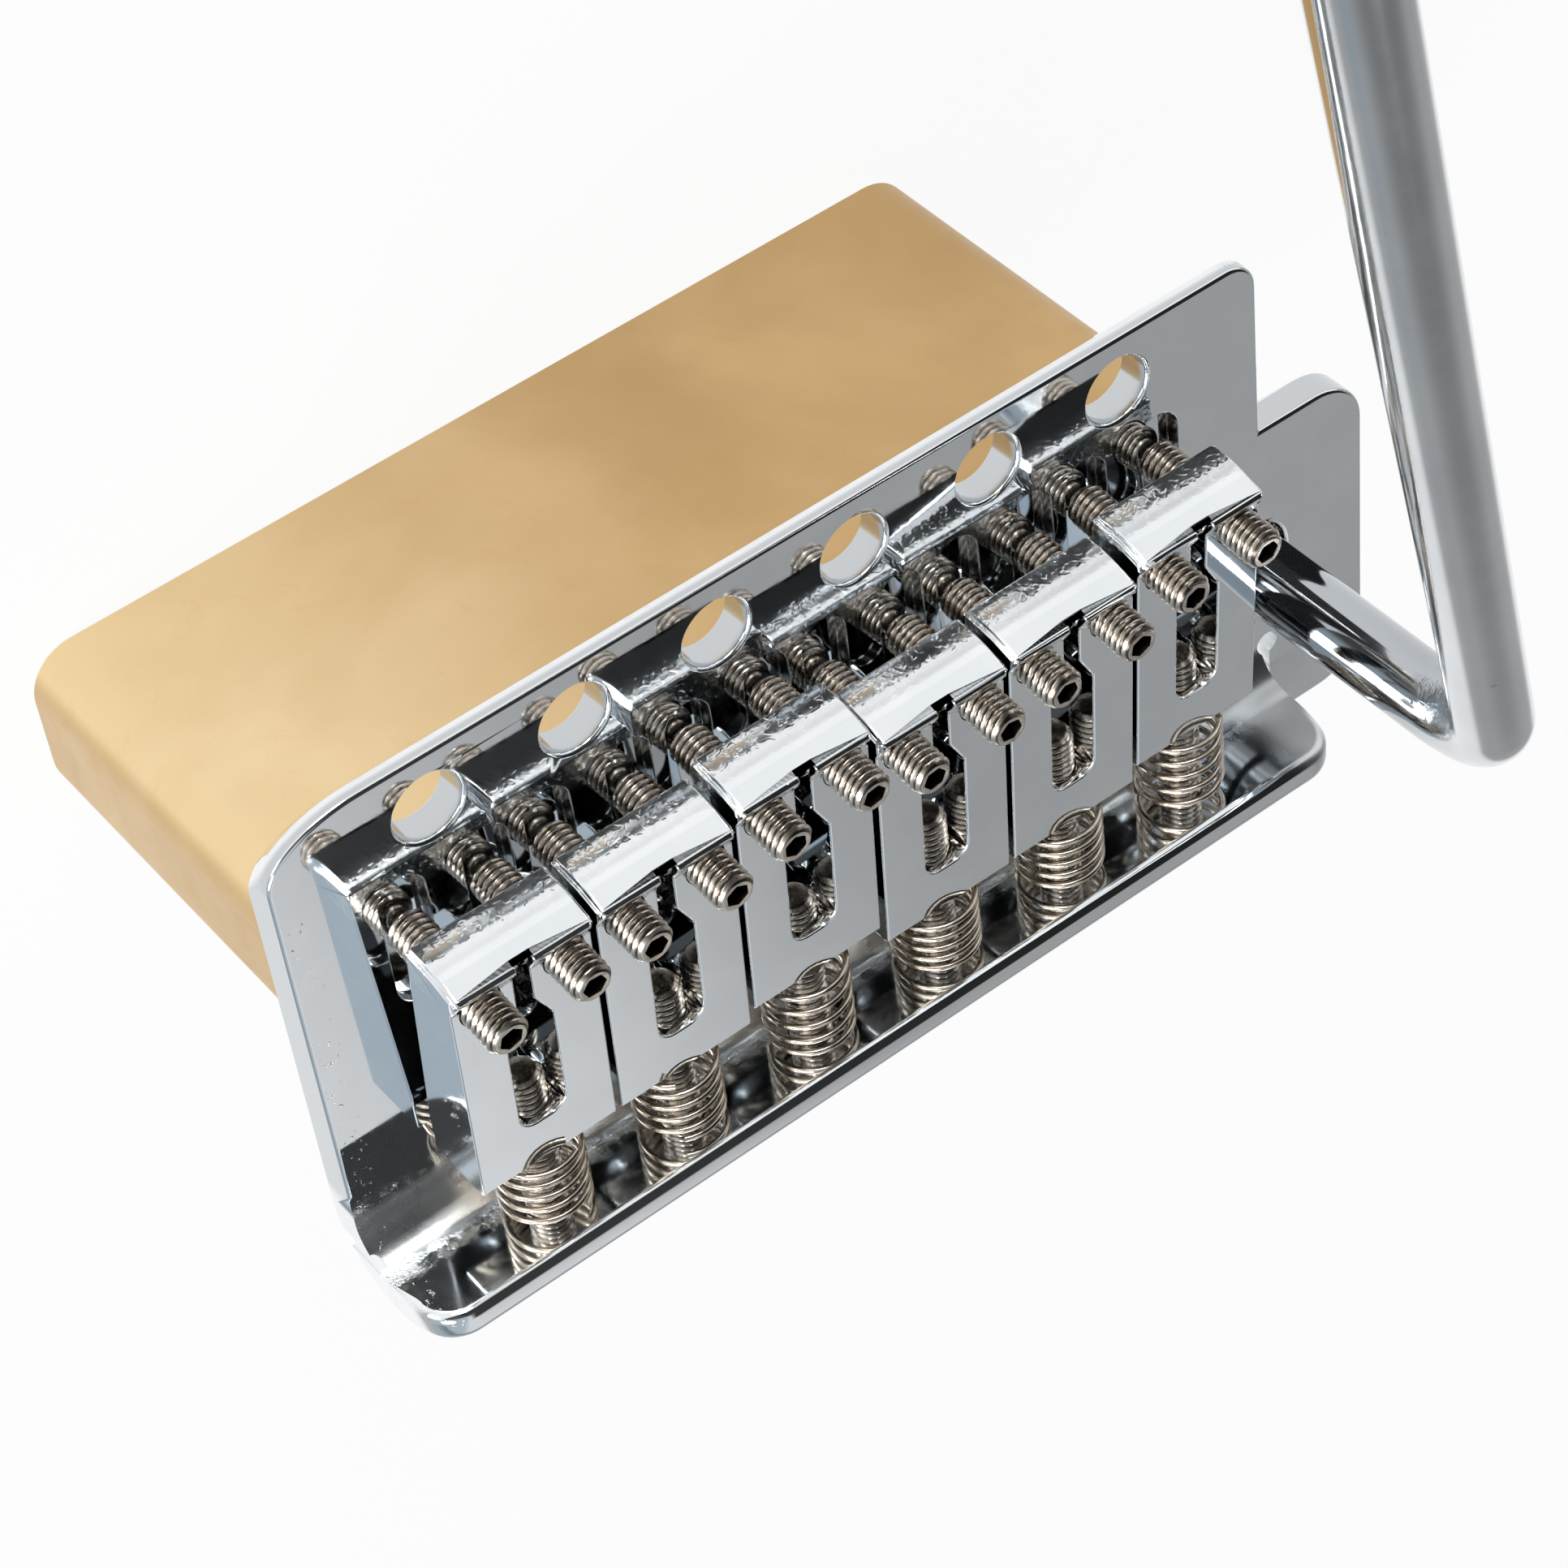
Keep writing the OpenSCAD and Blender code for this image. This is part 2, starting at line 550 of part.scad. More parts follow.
height_screw(4, -1);  // height_screw_4_bass
height_screw(4, 1);  // height_screw_4_treble
height_screw(5, -1);  // height_screw_5_bass
height_screw(5, 1);  // height_screw_5_treble
height_screw(6, -1);  // height_screw_6_bass
height_screw(6, 1);  // height_screw_6_treble
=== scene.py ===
import math

import bmesh
import bpy
from mathutils import Matrix, Vector


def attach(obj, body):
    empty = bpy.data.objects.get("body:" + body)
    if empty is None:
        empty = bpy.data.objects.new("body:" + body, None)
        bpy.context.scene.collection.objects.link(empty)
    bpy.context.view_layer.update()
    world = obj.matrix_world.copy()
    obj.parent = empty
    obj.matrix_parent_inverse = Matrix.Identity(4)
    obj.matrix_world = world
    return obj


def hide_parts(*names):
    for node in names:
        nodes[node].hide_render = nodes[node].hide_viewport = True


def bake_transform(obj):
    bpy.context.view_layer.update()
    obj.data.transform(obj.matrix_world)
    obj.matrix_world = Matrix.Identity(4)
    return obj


MM = 0.001

# Strings and saddles, as in the solids
STRINGS = range(1, 7)
STRING_MIDDLE = 3.5
STRING_PITCH_MM = 10.5
SADDLE_SHIFT_MM = (0.0, 0.0, 1.0, -0.7, -0.55, 0.6)
SADDLE_REAR_Y_MM = -26.2

# Plate, lip and block, as in the solids
PLATE_T_MM = 2.5
LIP_OUTER_Y_MM = -35.0
LIP_INNER_Y_MM = -32.5
BLOCK_BOTTOM_Z_MM = -31.4
BLOCK_ROW_Y_MM = -16.6

# Height screws, as in the solids
HEIGHT_SCREW_X_MM = 3.0
HEIGHT_TOP_Y_MM = -9.25
HEIGHT_TOP_Z_MM = 12.85
HEIGHT_LEAN = math.radians(5)
POINT_Z_MM = 1.55

# Length screws and springs, as in the solids
LENGTH_AXIS_Z_MM = 6.8
LENGTH_END_Y_MM = -19.6
SPRING_OD_MM = 6.1

# Arm and tip, as in the solids
ARM_X_MM = 36.8
ARM_Y_MM = -21.7
ARM_CORNER_Z_MM = 26.0
ARM_BEND_R_MM = 7.0
ARM_SWING = math.radians(109.55)
ARM_RISE = math.radians(12.2)
ARM_REACH_MM = 132.0
ARM_D_MM = 5.2
TIP_D_MM = 8.4
TIP_LEN_MM = 24.0

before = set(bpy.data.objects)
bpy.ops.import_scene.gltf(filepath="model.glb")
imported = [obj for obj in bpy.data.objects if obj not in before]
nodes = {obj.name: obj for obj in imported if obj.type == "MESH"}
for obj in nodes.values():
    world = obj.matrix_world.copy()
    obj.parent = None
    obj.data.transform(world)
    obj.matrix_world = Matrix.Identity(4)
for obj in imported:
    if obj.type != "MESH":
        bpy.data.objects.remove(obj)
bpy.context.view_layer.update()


def string_x(k):
    """Where string k lies, in millimetres."""
    return (k - STRING_MIDDLE) * STRING_PITCH_MM


# Mesh helpers

# Share of half a pitch that is flat at a thread's crest and at its root
THREAD_FLAT = 0.12
THREAD_RINGS_PER_TURN = 8
# Fall of a thread's end chamfer, and the room that keeps it off a full crest
CHAMFER_SLOPE = 0.9
CHAMFER_ROOM_MM = 0.0001
# Scale of a recess's outline at this height above its face in millimetres, and at its floor
RECESS_MOUTH = (1.06, 0.15)
RECESS_FLOOR = 0.45
# Sharper edges than this are rounded, and flatter joints than that are one face
SHARP_ANGLE = math.radians(50)
FLAT_ANGLE = math.radians(0.5)
WELD_DISTANCE = 3e-6
CUT_DISTANCE = 1e-6
# How strongly large faces keep their own direction next to a rounding, out of 100
FLAT_WEIGHT = 90


def link(name, data):
    obj = bpy.data.objects.new(name, data)
    bpy.context.scene.collection.objects.link(obj)
    return obj


def smooth(mesh, angle):
    """Smooth shading with sharp edges above an angle in degrees."""
    for polygon in mesh.polygons:
        polygon.use_smooth = True
    mesh.set_sharp_from_angle(angle=math.radians(angle))


def ring_mesh(name, rings, angle, matrix=Matrix.Identity(4), groove=None):
    """A closed skin over rings of points in millimetres. groove has a value for each point, which sets its
    painted shade.
    """
    bm = bmesh.new()
    rows = [[bm.verts.new(p) for p in ring] for ring in rings]
    count = len(rows[0])
    for a, b in zip(rows, rows[1:]):
        for i in range(count):
            j = (i + 1) % count
            bm.faces.new((a[i], a[j], b[j], b[i]))
    bm.faces.new(rows[0][::-1])
    bm.faces.new(rows[-1])
    bmesh.ops.recalc_face_normals(bm, faces=bm.faces)
    mesh = bpy.data.meshes.new(name)
    bm.to_mesh(mesh)
    bm.free()
    mesh.transform(Matrix.Scale(MM, 4) @ matrix)
    if groove:
        layer = mesh.attributes.new("groove", "FLOAT", "POINT")
        layer.data.foreach_set("value", [v for row in groove for v in row])
    smooth(mesh, angle)
    return link(name, mesh)


def circle(radius, z, sides):
    step = 2 * math.pi / sides
    return [Vector((radius * math.cos(i * step), radius * math.sin(i * step), z)) for i in range(sides)]


def hexagon(flats, z, sides):
    """A ring of so many points along a hexagon that measures flats across."""
    half_sector = math.pi / 6
    ring = []
    for i in range(sides):
        a = 2 * math.pi * i / sides
        near = (a + half_sector) % (2 * half_sector) - half_sector
        radius = flats / 2 / math.cos(near)
        turned = a + half_sector
        ring.append(Vector((radius * math.cos(turned), radius * math.sin(turned), z)))
    return ring


def thread_rows(radius, z0, z1, pitch, depth, chamfer0, chamfer1, sides):
    """Rings of a helical thread from z0 to z1, with how deep each point lies between the crests, which later
    sets its painted shade.
    """
    rings = []
    groove_shades = []
    count = max(2, int(round((z1 - z0) / pitch * THREAD_RINGS_PER_TURN)))
    for n in range(count + 1):
        z = z0 + (z1 - z0) * n / count
        ring = []
        row = []
        for i in range(sides):
            turn = i / sides
            phase = (z / pitch - turn) % 1.0
            slope = (abs(2 * phase - 1) - THREAD_FLAT) / (1 - 2 * THREAD_FLAT)
            cut = min(1.0, max(0.0, slope))
            start = radius - chamfer0 + (z - z0) * CHAMFER_SLOPE + CHAMFER_ROOM_MM
            end = radius - chamfer1 + (z1 - z) * CHAMFER_SLOPE + CHAMFER_ROOM_MM
            r = min(radius - depth * cut, start, end)
            a = 2 * math.pi * turn
            ring.append(Vector((r * math.cos(a), r * math.sin(a), z)))
            row.append(cut)
        rings.append(ring)
        groove_shades.append(row)
    return rings, groove_shades


def even_rows(values, sides):
    """Painted shade values for rings that each have one value all round."""
    return [[value] * sides for value in values]


def apply_modifiers(obj):
    deps = bpy.context.evaluated_depsgraph_get()
    mesh = bpy.data.meshes.new_from_object(obj.evaluated_get(deps))
    obj.modifiers.clear()
    obj.data = mesh


def cut_cross(obj, matrix, arm, width, depth):
    """Cuts a tapered cross recess into the face at z 0 of matrix."""
    w = width / 2
    outline = [(arm, -w), (arm, w), (w, w), (w, arm), (-w, arm), (-w, w),
               (-arm, w), (-arm, -w), (-w, -w), (-w, -arm), (w, -arm), (w, -w)]
    levels = (RECESS_MOUTH, (1.0, 0.0), (RECESS_FLOOR, -depth))
    rings = [[Vector((x * s, y * s, z)) for x, y in outline] for s, z in levels]
    cutter = ring_mesh("cutter", rings, angle=20, matrix=matrix)
    cut = obj.modifiers.new("recess", "BOOLEAN")
    cut.operation = "DIFFERENCE"
    cut.object = cutter
    cut.solver = "EXACT"
    apply_modifiers(obj)
    bpy.data.objects.remove(cutter, do_unlink=True)
    smooth(obj.data, angle=30)


def joined(name, parts):
    """One object from several, keeping their meshes as separate shells."""
    bm = bmesh.new()
    for part in parts:
        bm.from_mesh(part.data)
    mesh = bpy.data.meshes.new(name)
    bm.to_mesh(mesh)
    bm.free()
    for part in parts:
        bpy.data.objects.remove(part, do_unlink=True)
    smooth(mesh, angle=30)
    return link(name, mesh)


def all_edges(middle):
    """The full width on every sharp edge."""
    return 1.0


def dressed(node, width, weigh=all_edges, segments=3, cuts=(), clamp=True):
    """A copy of a CAD node with merged flat faces and softly rounded edges.

    width is in millimetres. weigh gives the share of it that a sharp edge gets, from the
    edge's middle in millimetres, and an edge with no share stays sharp. cuts are places
    along Y where faces are split. clamp keeps a rounding from running into its neighbours.
    """
    bm = bmesh.new()
    bm.from_mesh(nodes[node].data)
    bmesh.ops.remove_doubles(bm, verts=bm.verts, dist=WELD_DISTANCE)
    bmesh.ops.dissolve_limit(bm, angle_limit=FLAT_ANGLE, verts=bm.verts, edges=bm.edges)
    for y in cuts:
        parts = bm.verts[:] + bm.edges[:] + bm.faces[:]
        place = (0, y * MM, 0)
        bmesh.ops.bisect_plane(bm, geom=parts, dist=CUT_DISTANCE, plane_co=place, plane_no=(0, 1, 0))
    weights = bm.edges.layers.float.new("bevel_weight_edge")
    for edge in bm.edges:
        if len(edge.link_faces) == 2 and edge.calc_face_angle(0.0) > SHARP_ANGLE:
            edge[weights] = weigh((edge.verts[0].co + edge.verts[1].co) / 2 / MM)
            edge.smooth = edge[weights] > 0.0
    mesh = bpy.data.meshes.new(node + "_dressed")
    bm.to_mesh(mesh)
    bm.free()
    for polygon in mesh.polygons:
        polygon.use_smooth = True
    obj = link(node + "_dressed", mesh)
    bevel = obj.modifiers.new("soft_edges", "BEVEL")
    bevel.width = width * MM
    bevel.segments = segments
    bevel.limit_method = "WEIGHT"
    bevel.use_clamp_overlap = clamp
    flats = obj.modifiers.new("flat_faces", "WEIGHTED_NORMAL")
    flats.mode = "FACE_AREA"
    flats.weight = FLAT_WEIGHT
    flats.keep_sharp = True
    return obj


# Node helpers

class Graph:
    """Short ways to write the nodes of a material or of the world."""

    def __init__(self, tree, shader, space):
        self.tree = tree
        self.shader = tree.nodes[shader]
        self.coords = tree.nodes.new("ShaderNodeTexCoord").outputs[space]

    def fill(self, socket, value):
        if isinstance(value, bpy.types.NodeSocket):
            self.tree.links.new(value, socket)
        else:
            socket.default_value = value

    def node(self, kind, inputs=None, **settings):
        made = self.tree.nodes.new(kind)
        for key, value in settings.items():
            setattr(made, key, value)
        for key, value in (inputs or {}).items():
            self.fill(made.inputs[key], value)
        return made

    def noise(self, scale, detail, rough, vector=None, distortion=0.0):
        inputs = {"Vector": vector or self.coords, "Scale": scale, "Detail": detail,
                  "Roughness": rough, "Distortion": distortion}
        return self.node("ShaderNodeTexNoise", inputs).outputs["Fac"]

    def stretch(self, x, y, z):
        inputs = {"Vector": self.coords, "Scale": (x, y, z)}
        return self.node("ShaderNodeMapping", inputs).outputs["Vector"]

    def ramp(self, value, low, high, out_low=0.0, out_high=1.0):
        inputs = {"Value": value, "From Min": low, "From Max": high,
                  "To Min": out_low, "To Max": out_high}
        return self.node("ShaderNodeMapRange", inputs, interpolation_type="SMOOTHSTEP").outputs["Result"]

    def math(self, operation, a, b):
        return self.node("ShaderNodeMath", {0: a, 1: b}, operation=operation).outputs["Value"]

    def plus(self, a, b):
        return self.math("ADD", a, b)

    def times(self, *values):
        product = values[0]
        for value in values[1:]:
            product = self.math("MULTIPLY", product, value)
        return product

    def mix(self, factor, a, b):
        """Blends two colours."""
        return self.node("ShaderNodeMix", {0: factor, 6: a, 7: b}, data_type="RGBA").outputs[2]

    def mix_value(self, factor, a, b):
        """Blends two numbers."""
        return self.node("ShaderNodeMix", {0: factor, 2: a, 3: b}, data_type="FLOAT").outputs[0]

    def bump(self, height, distance, strength, normal=None):
        inputs = {"Height": height, "Distance": distance, "Strength": strength}
        if normal:
            inputs["Normal"] = normal
        return self.node("ShaderNodeBump", inputs).outputs["Normal"]

    def axis(self, name):
        return self.node("ShaderNodeSeparateXYZ", {"Vector": self.coords}).outputs[name]

    def put(self, color, rough, metal, normal):
        self.fill(self.shader.inputs["Base Color"], color)
        self.fill(self.shader.inputs["Roughness"], rough)
        self.fill(self.shader.inputs["Metallic"], metal)
        self.fill(self.shader.inputs["Normal"], normal)


def new_material(name):
    material = bpy.data.materials.new(name)
    material.use_nodes = True
    return material, Graph(material.node_tree, "Principled BSDF", "Object")


# Chrome of the plate and the saddles

CHROME_DULL = (0.88, 0.905, 0.925, 1)
CHROME_CLEAR = (0.93, 0.945, 0.955, 1)
CHROME_WAVE = 0.00004


def chrome_base(g):
    """Colour, roughness and normal of the plating, before its marks."""
    tint = g.mix(g.ramp(g.noise(160.0, 4.0, 0.6), 0.35, 0.7), CHROME_DULL, CHROME_CLEAR)
    rough = g.ramp(g.noise(420.0, 5.0, 0.65), 0.35, 0.75, 0.025, 0.065)
    normal = g.bump(g.noise(95.0, 2.0, 0.4), CHROME_WAVE, 0.09)
    return tint, rough, normal


# Each pair of places is where a mark begins to show and where it shows in full
PITS_LEFT_X = (-0.0371, -0.0366)
PITS_RIGHT_X = (-0.0352, -0.0358)
PITS_FRONT_Y = (0.000, -0.006)
PIT_COLOUR = (0.20, 0.17, 0.15, 1)
CRUST_FRONT_Y = (-0.0318, -0.0322)
CRUST_REAR_Y = (-0.0329, -0.0327)
CRUST_TOP_Z = (0.0068, 0.0055)
CRUST_FOOT_Z = (0.0046, 0.0052)
# The crust thins out from the first place to the second
CRUST_THINS_X = (-0.030, 0.034)
MARK_DEPTH = 0.00007
BEND_FRONT_Y = (-0.0284, -0.0296)
BEND_REAR_Y = (-0.0326, -0.0322)
SATIN_X = (0.0315, 0.0355)
SATIN_Y = (-0.0318, -0.0324)
WALL_FRONT_Y = (-0.0290, -0.0270)
# Painted shade: the darker tint of upright faces in front of the lip
WALL_SHADE_COLOUR = (0.60, 0.625, 0.645, 1)


def plate_material():
    """Plating with pits at the left edge, a crust at the lip's foot, a duller bend, and upright faces that
    are rougher and carry painted shade.
    """
    material, g = new_material("plate_chrome")
    tint, rough, normal = chrome_base(g)
    x = g.axis("X")
    y = g.axis("Y")
    z = g.axis("Z")

    left_edge = g.times(g.ramp(x, *PITS_LEFT_X), g.ramp(x, *PITS_RIGHT_X), g.ramp(y, *PITS_FRONT_Y))
    pits = g.times(g.ramp(g.noise(2300.0, 3.0, 0.7), 0.63, 0.70), left_edge)
    tint = g.mix(g.times(pits, 0.8), tint, PIT_COLOUR)

    lip_foot = g.times(g.ramp(y, *CRUST_FRONT_Y), g.ramp(y, *CRUST_REAR_Y),
                       g.ramp(z, *CRUST_TOP_Z), g.ramp(z, *CRUST_FOOT_Z),
                       g.ramp(x, *CRUST_THINS_X, 1.0, 0.45))
    patches = g.ramp(g.noise(520.0, 3.0, 0.6), 0.38, 0.60)
    crust = g.times(g.noise(4800.0, 3.0, 0.7), lip_foot, patches)
    normal = g.bump(g.plus(g.times(pits, -0.6), crust), MARK_DEPTH, 0.6, normal)
    rough = g.plus(rough, g.times(crust, 0.35))

    bend = g.times(g.ramp(y, *BEND_FRONT_Y), g.ramp(y, *BEND_REAR_Y))
    rough = g.plus(rough, g.times(bend, 0.24))
    satin = g.times(g.ramp(x, *SATIN_X), g.ramp(y, *SATIN_Y))
    rough = g.plus(rough, g.times(satin, 0.36))

    surface = g.node("ShaderNodeTexCoord").outputs["Normal"]
    facing_up = g.node("ShaderNodeSeparateXYZ", {"Vector": surface}).outputs["Z"]
    # Painted shade: upright faces in front of the lip get a darker tint, and they are also rougher
    shaded_walls = g.times(g.ramp(g.math("ABSOLUTE", facing_up, 0.0), 0.40, 0.10), g.ramp(y, *WALL_FRONT_Y))
    tint = g.mix(shaded_walls, tint, WALL_SHADE_COLOUR)
    rough = g.plus(rough, g.times(shaded_walls, 0.12))
    g.put(tint, rough, 1.0, normal)
    return material


PEEL_TOP_Z = (0.0100, 0.0072)
PEEL_RAGGED = 0.0022
PEEL_REAR_Y = (-0.0090, -0.0080)
DIMPLE_DEPTH = 0.000022


def saddle_material():
    """Plating with a cast peel low on each saddle's front."""
    material, g = new_material("saddle_chrome")
    tint, rough, normal = chrome_base(g)
    height = g.plus(g.axis("Z"), g.times(g.noise(260.0, 2.0, 0.5), PEEL_RAGGED))
    front = g.times(g.ramp(height, *PEEL_TOP_Z), g.ramp(g.axis("Y"), *PEEL_REAR_Y))
    dimples = g.times(g.ramp(g.noise(2600.0, 0.0, 0.5), 0.45, 0.75), front)
    normal = g.bump(dimples, DIMPLE_DEPTH, 0.8, normal)
    rough = g.plus(rough, g.times(front, 0.16))
    g.put(tint, rough, 1.0, normal)
    return material


# Chrome of the arm

ARM_DULL = (0.64, 0.665, 0.69, 1)
ARM_CLEAR = (0.70, 0.725, 0.745, 1)
# Painted shade on the bar's upright foot, which begins at the first height and is full below the second
ARM_FOOT_SHADE = (0.50, 0.525, 0.55, 1)
ARM_FOOT_SHADE_Z = (0.0240, 0.0190)
ARM_UPPER_Z = (0.0215, 0.0265)
ARM_WAVE = 0.00006
ARM_SPECK = (0.35, 0.35, 0.36, 1)
# A crust on the inside of the bend
ARM_CRUST_PLACE = (0.0367, -0.0178, 0.0230)
ARM_CRUST_R = (0.0048, 0.0012)
ARM_CRUST_DEPTH = 0.00022


def arm_material():
    """Older plating with specks, painted shade on its upright foot, duller above it, crusted inside the
    bend.
    """
    material, g = new_material("arm_chrome")
    tint = g.mix(g.ramp(g.noise(90.0, 4.0, 0.6), 0.35, 0.7), ARM_DULL, ARM_CLEAR)
    # Painted shade: the bar darkens towards its foot
    tint = g.mix(g.ramp(g.axis("Z"), *ARM_FOOT_SHADE_Z), tint, ARM_FOOT_SHADE)
    rough = g.ramp(g.noise(300.0, 5.0, 0.65), 0.35, 0.75, 0.07, 0.12)
    rough = g.plus(rough, g.ramp(g.axis("Z"), *ARM_UPPER_Z, 0.0, 0.04))
    normal = g.bump(g.noise(70.0, 2.0, 0.4), ARM_WAVE, 0.3)
    distance = g.node("ShaderNodeVectorMath", {0: g.coords, 1: ARM_CRUST_PLACE}, operation="DISTANCE")
    near = g.ramp(distance.outputs["Value"], *ARM_CRUST_R)
    crust = g.times(g.noise(1500.0, 4.0, 0.75), near)
    normal = g.bump(crust, ARM_CRUST_DEPTH, 0.8, normal)
    rough = g.plus(rough, g.times(near, 0.08))
    specks = g.ramp(g.noise(900.0, 2.0, 0.5), 0.72, 0.78)
    tint = g.mix(g.times(specks, 0.5), tint, ARM_SPECK)
    g.put(tint, rough, 1.0, normal)
    return material


# Brass of the block

# Lit and shaded copies of the brass colour: painted light and painted shade
BRASS_LIT_DARK = (0.86, 0.65, 0.36, 1)
BRASS_LIT_LIGHT = (0.93, 0.74, 0.46, 1)
BRASS_SHADED_DARK = (0.52, 0.335, 0.150, 1)
BRASS_SHADED_LIGHT = (0.62, 0.415, 0.200, 1)
BRASS_SPOT = (0.50, 0.33, 0.15, 1)
BRASS_LOW_DARK = (0.45, 0.29, 0.13, 1)
# Where the brass turns from painted light on the left to painted shade on the right, how ragged that is, and
# the left face with painted shade
BRASS_TURN_X = (-0.026, 0.024)
BRASS_TURN_RAGGED = 0.03
BRASS_LEFT_X = (-0.0346, -0.0353)
BRASS_LOW_DARK_Z = (-0.022, -0.0315)
BRASS_STROKE_DEPTH = 0.00002
BRASS_CLOUD_DEPTH = 0.0003


def brass_material():
    """Brass with painted light on the left and painted shade to the right and on its left face, darker
    patches towards the bottom and fine strokes across.
    """
    material, g = new_material("block_brass")
    cloud = g.noise(38.0, 4.0, 0.55, distortion=0.4)
    shade = g.ramp(cloud, 0.36, 0.66)
    lit_brass = g.mix(shade, BRASS_LIT_DARK, BRASS_LIT_LIGHT)
    shaded_brass = g.mix(shade, BRASS_SHADED_DARK, BRASS_SHADED_LIGHT)
    drift = g.plus(g.axis("X"), g.times(g.noise(30.0, 3.0, 0.6), BRASS_TURN_RAGGED))
    # Painted light falls off to painted shade from left to right
    tint = g.mix(g.ramp(drift, *BRASS_TURN_X), lit_brass, shaded_brass)
    # Painted shade on the left face
    tint = g.mix(g.ramp(g.axis("X"), *BRASS_LEFT_X, 0.0, 0.6), tint, shaded_brass)
    small = g.noise(330.0, 5.0, 0.7, distortion=0.8)
    tint = g.mix(g.times(g.ramp(small, 0.52, 0.80), 0.16), tint, BRASS_SPOT)
    # Darker patches, stronger towards the bottom
    lower = g.ramp(g.axis("Z"), *BRASS_LOW_DARK_Z, 0.25, 1.0)
    low_dark_patches = g.times(g.ramp(g.noise(75.0, 6.0, 0.75), 0.56, 0.74), lower)
    tint = g.mix(g.times(low_dark_patches, 0.35), tint, BRASS_LOW_DARK)
    strokes = g.noise(900.0, 3.0, 0.6, g.stretch(0.04, 1.0, 1.0))
    rough = g.ramp(small, 0.3, 0.75, 0.34, 0.46)
    normal = g.bump(strokes, BRASS_STROKE_DEPTH, 0.25)
    normal = g.bump(cloud, BRASS_CLOUD_DEPTH, 0.08, normal)
    g.put(tint, rough, 1.0, normal)
    return material


# Steel of screws, bush and springs

# Near black, painted as shade inside sockets
SOCKET_SHADE_BLACK = (0.012, 0.010, 0.009, 1)
STEEL_GRAIN = 0.00002


def steel_material(name, bright, dark, rough_low, use_groove_shade=False):
    """Machined steel with grime. use_groove_shade paints shade into thread roots and paints sockets near
    black as shade.
    """
    material, g = new_material(name)
    patch = g.ramp(g.noise(700.0, 4.0, 0.6), 0.35, 0.7)
    tint = g.mix(patch, bright, tuple(0.86 * v for v in bright[:3]) + (1,))
    grime = g.ramp(g.noise(1500.0, 3.0, 0.6), 0.55, 0.75)
    tint = g.mix(g.times(grime, 0.35), tint, dark)
    if use_groove_shade:
        groove = g.node("ShaderNodeAttribute", attribute_name="groove").outputs["Fac"]
        # Painted shade: thread roots darkened towards the dark colour
        tint = g.mix(g.ramp(groove, 0.30, 0.90, 0.0, 0.96), tint, dark)
        # Painted shade: sockets painted near black
        tint = g.mix(g.ramp(groove, 1.2, 2.0), tint, SOCKET_SHADE_BLACK)
    rough = g.ramp(g.noise(1300.0, 4.0, 0.6), 0.3, 0.75, rough_low, rough_low + 0.14)
    normal = g.bump(g.noise(2600.0, 3.0, 0.6), STEEL_GRAIN, 0.4)
    g.put(tint, rough, 1.0, normal)
    return material


# Black plastic of the arm's tip

PLASTIC_DARK = (0.014, 0.014, 0.015, 1)
PLASTIC_LIGHT = (0.024, 0.024, 0.025, 1)
PLASTIC_GRAIN = 0.00003


def plastic_material():
    material, g = new_material("tip_plastic")
    tint = g.mix(g.ramp(g.noise(220.0, 3.0, 0.5), 0.35, 0.7), PLASTIC_DARK, PLASTIC_LIGHT)
    rough = g.ramp(g.noise(500.0, 4.0, 0.6), 0.35, 0.7, 0.22, 0.36)
    normal = g.bump(g.noise(900.0, 3.0, 0.5), PLASTIC_GRAIN, 0.3)
    g.put(tint, rough, 0.0, normal)
    return material


# All materials

NICKEL_BRIGHT = (0.74, 0.665, 0.58, 1)
# Dark of the nickel: its grime, and the painted shade of thread roots
NICKEL_GRIME_AND_SHADE = (0.075, 0.055, 0.042, 1)
STEEL_BRIGHT = (0.56, 0.55, 0.53, 1)
STEEL_DARK = (0.16, 0.14, 0.12, 1)
WIRE_BRIGHT = (0.70, 0.61, 0.51, 1)
WIRE_DARK = (0.20, 0.155, 0.115, 1)

PLATE = plate_material()
SADDLE = saddle_material()
ARM = arm_material()
BRASS = brass_material()
SCREW = steel_material("screw_nickel", NICKEL_BRIGHT, NICKEL_GRIME_AND_SHADE, 0.20, use_groove_shade=True)
STEEL = steel_material("plain_steel_finish", STEEL_BRIGHT, STEEL_DARK, 0.22)
WIRE = steel_material("wire_bright", WIRE_BRIGHT, WIRE_DARK, 0.14)
PLASTIC = plastic_material()


def finish_piece(obj, material, node, body):
    """Gives a piece its material and its body, and hides the CAD node that it stands for."""
    obj.data.materials.clear()
    obj.data.materials.append(material)
    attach(obj, body)
    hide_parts(node)


# Plate

PLATE_ROUND_MM = 0.90
# Shares of that rounding, from the lip's rear rim to the edges of holes and troughs
LIP_REAR_SHARE = 1.0
LIP_FRONT_SHARE = 0.8
RIM_SHARE = 0.33
HOLE_SHARE = 0.1
# Limits on an edge's middle that tell what the edge belongs to
LIP_EDGE_Y_MM = -32.3
LIP_REAR_Y_MM = -34.0
LIP_ABOVE_HOLES_Z_MM = 8.6
LIP_END_X_MM = 35.0
LIP_END_Z_MM = 7.6
RELIEF_FRONT_Y_MM = -26.0
RELIEF_X_MM = 32.0
SLIT_RIGHT_X_MM = 39.0
UNDERSIDE_Z_MM = 0.2
UNDERSIDE_LEFT_X_MM = -29.0
RIM_LEFT_X_MM = -37.3
RIM_RIGHT_X_MM = 37.7
RIM_FRONT_Y_MM = 3.9
# Limits in X and in Y of the front corners on the bass and on the treble side
BASS_CORNER_MM = (-30.0, 0.0)
TREBLE_CORNER_MM = (35.4, 1.5)
# The plate's faces are split here, where its rounding ends before the relief cuts
PLATE_CUT_Y_MM = -27.0


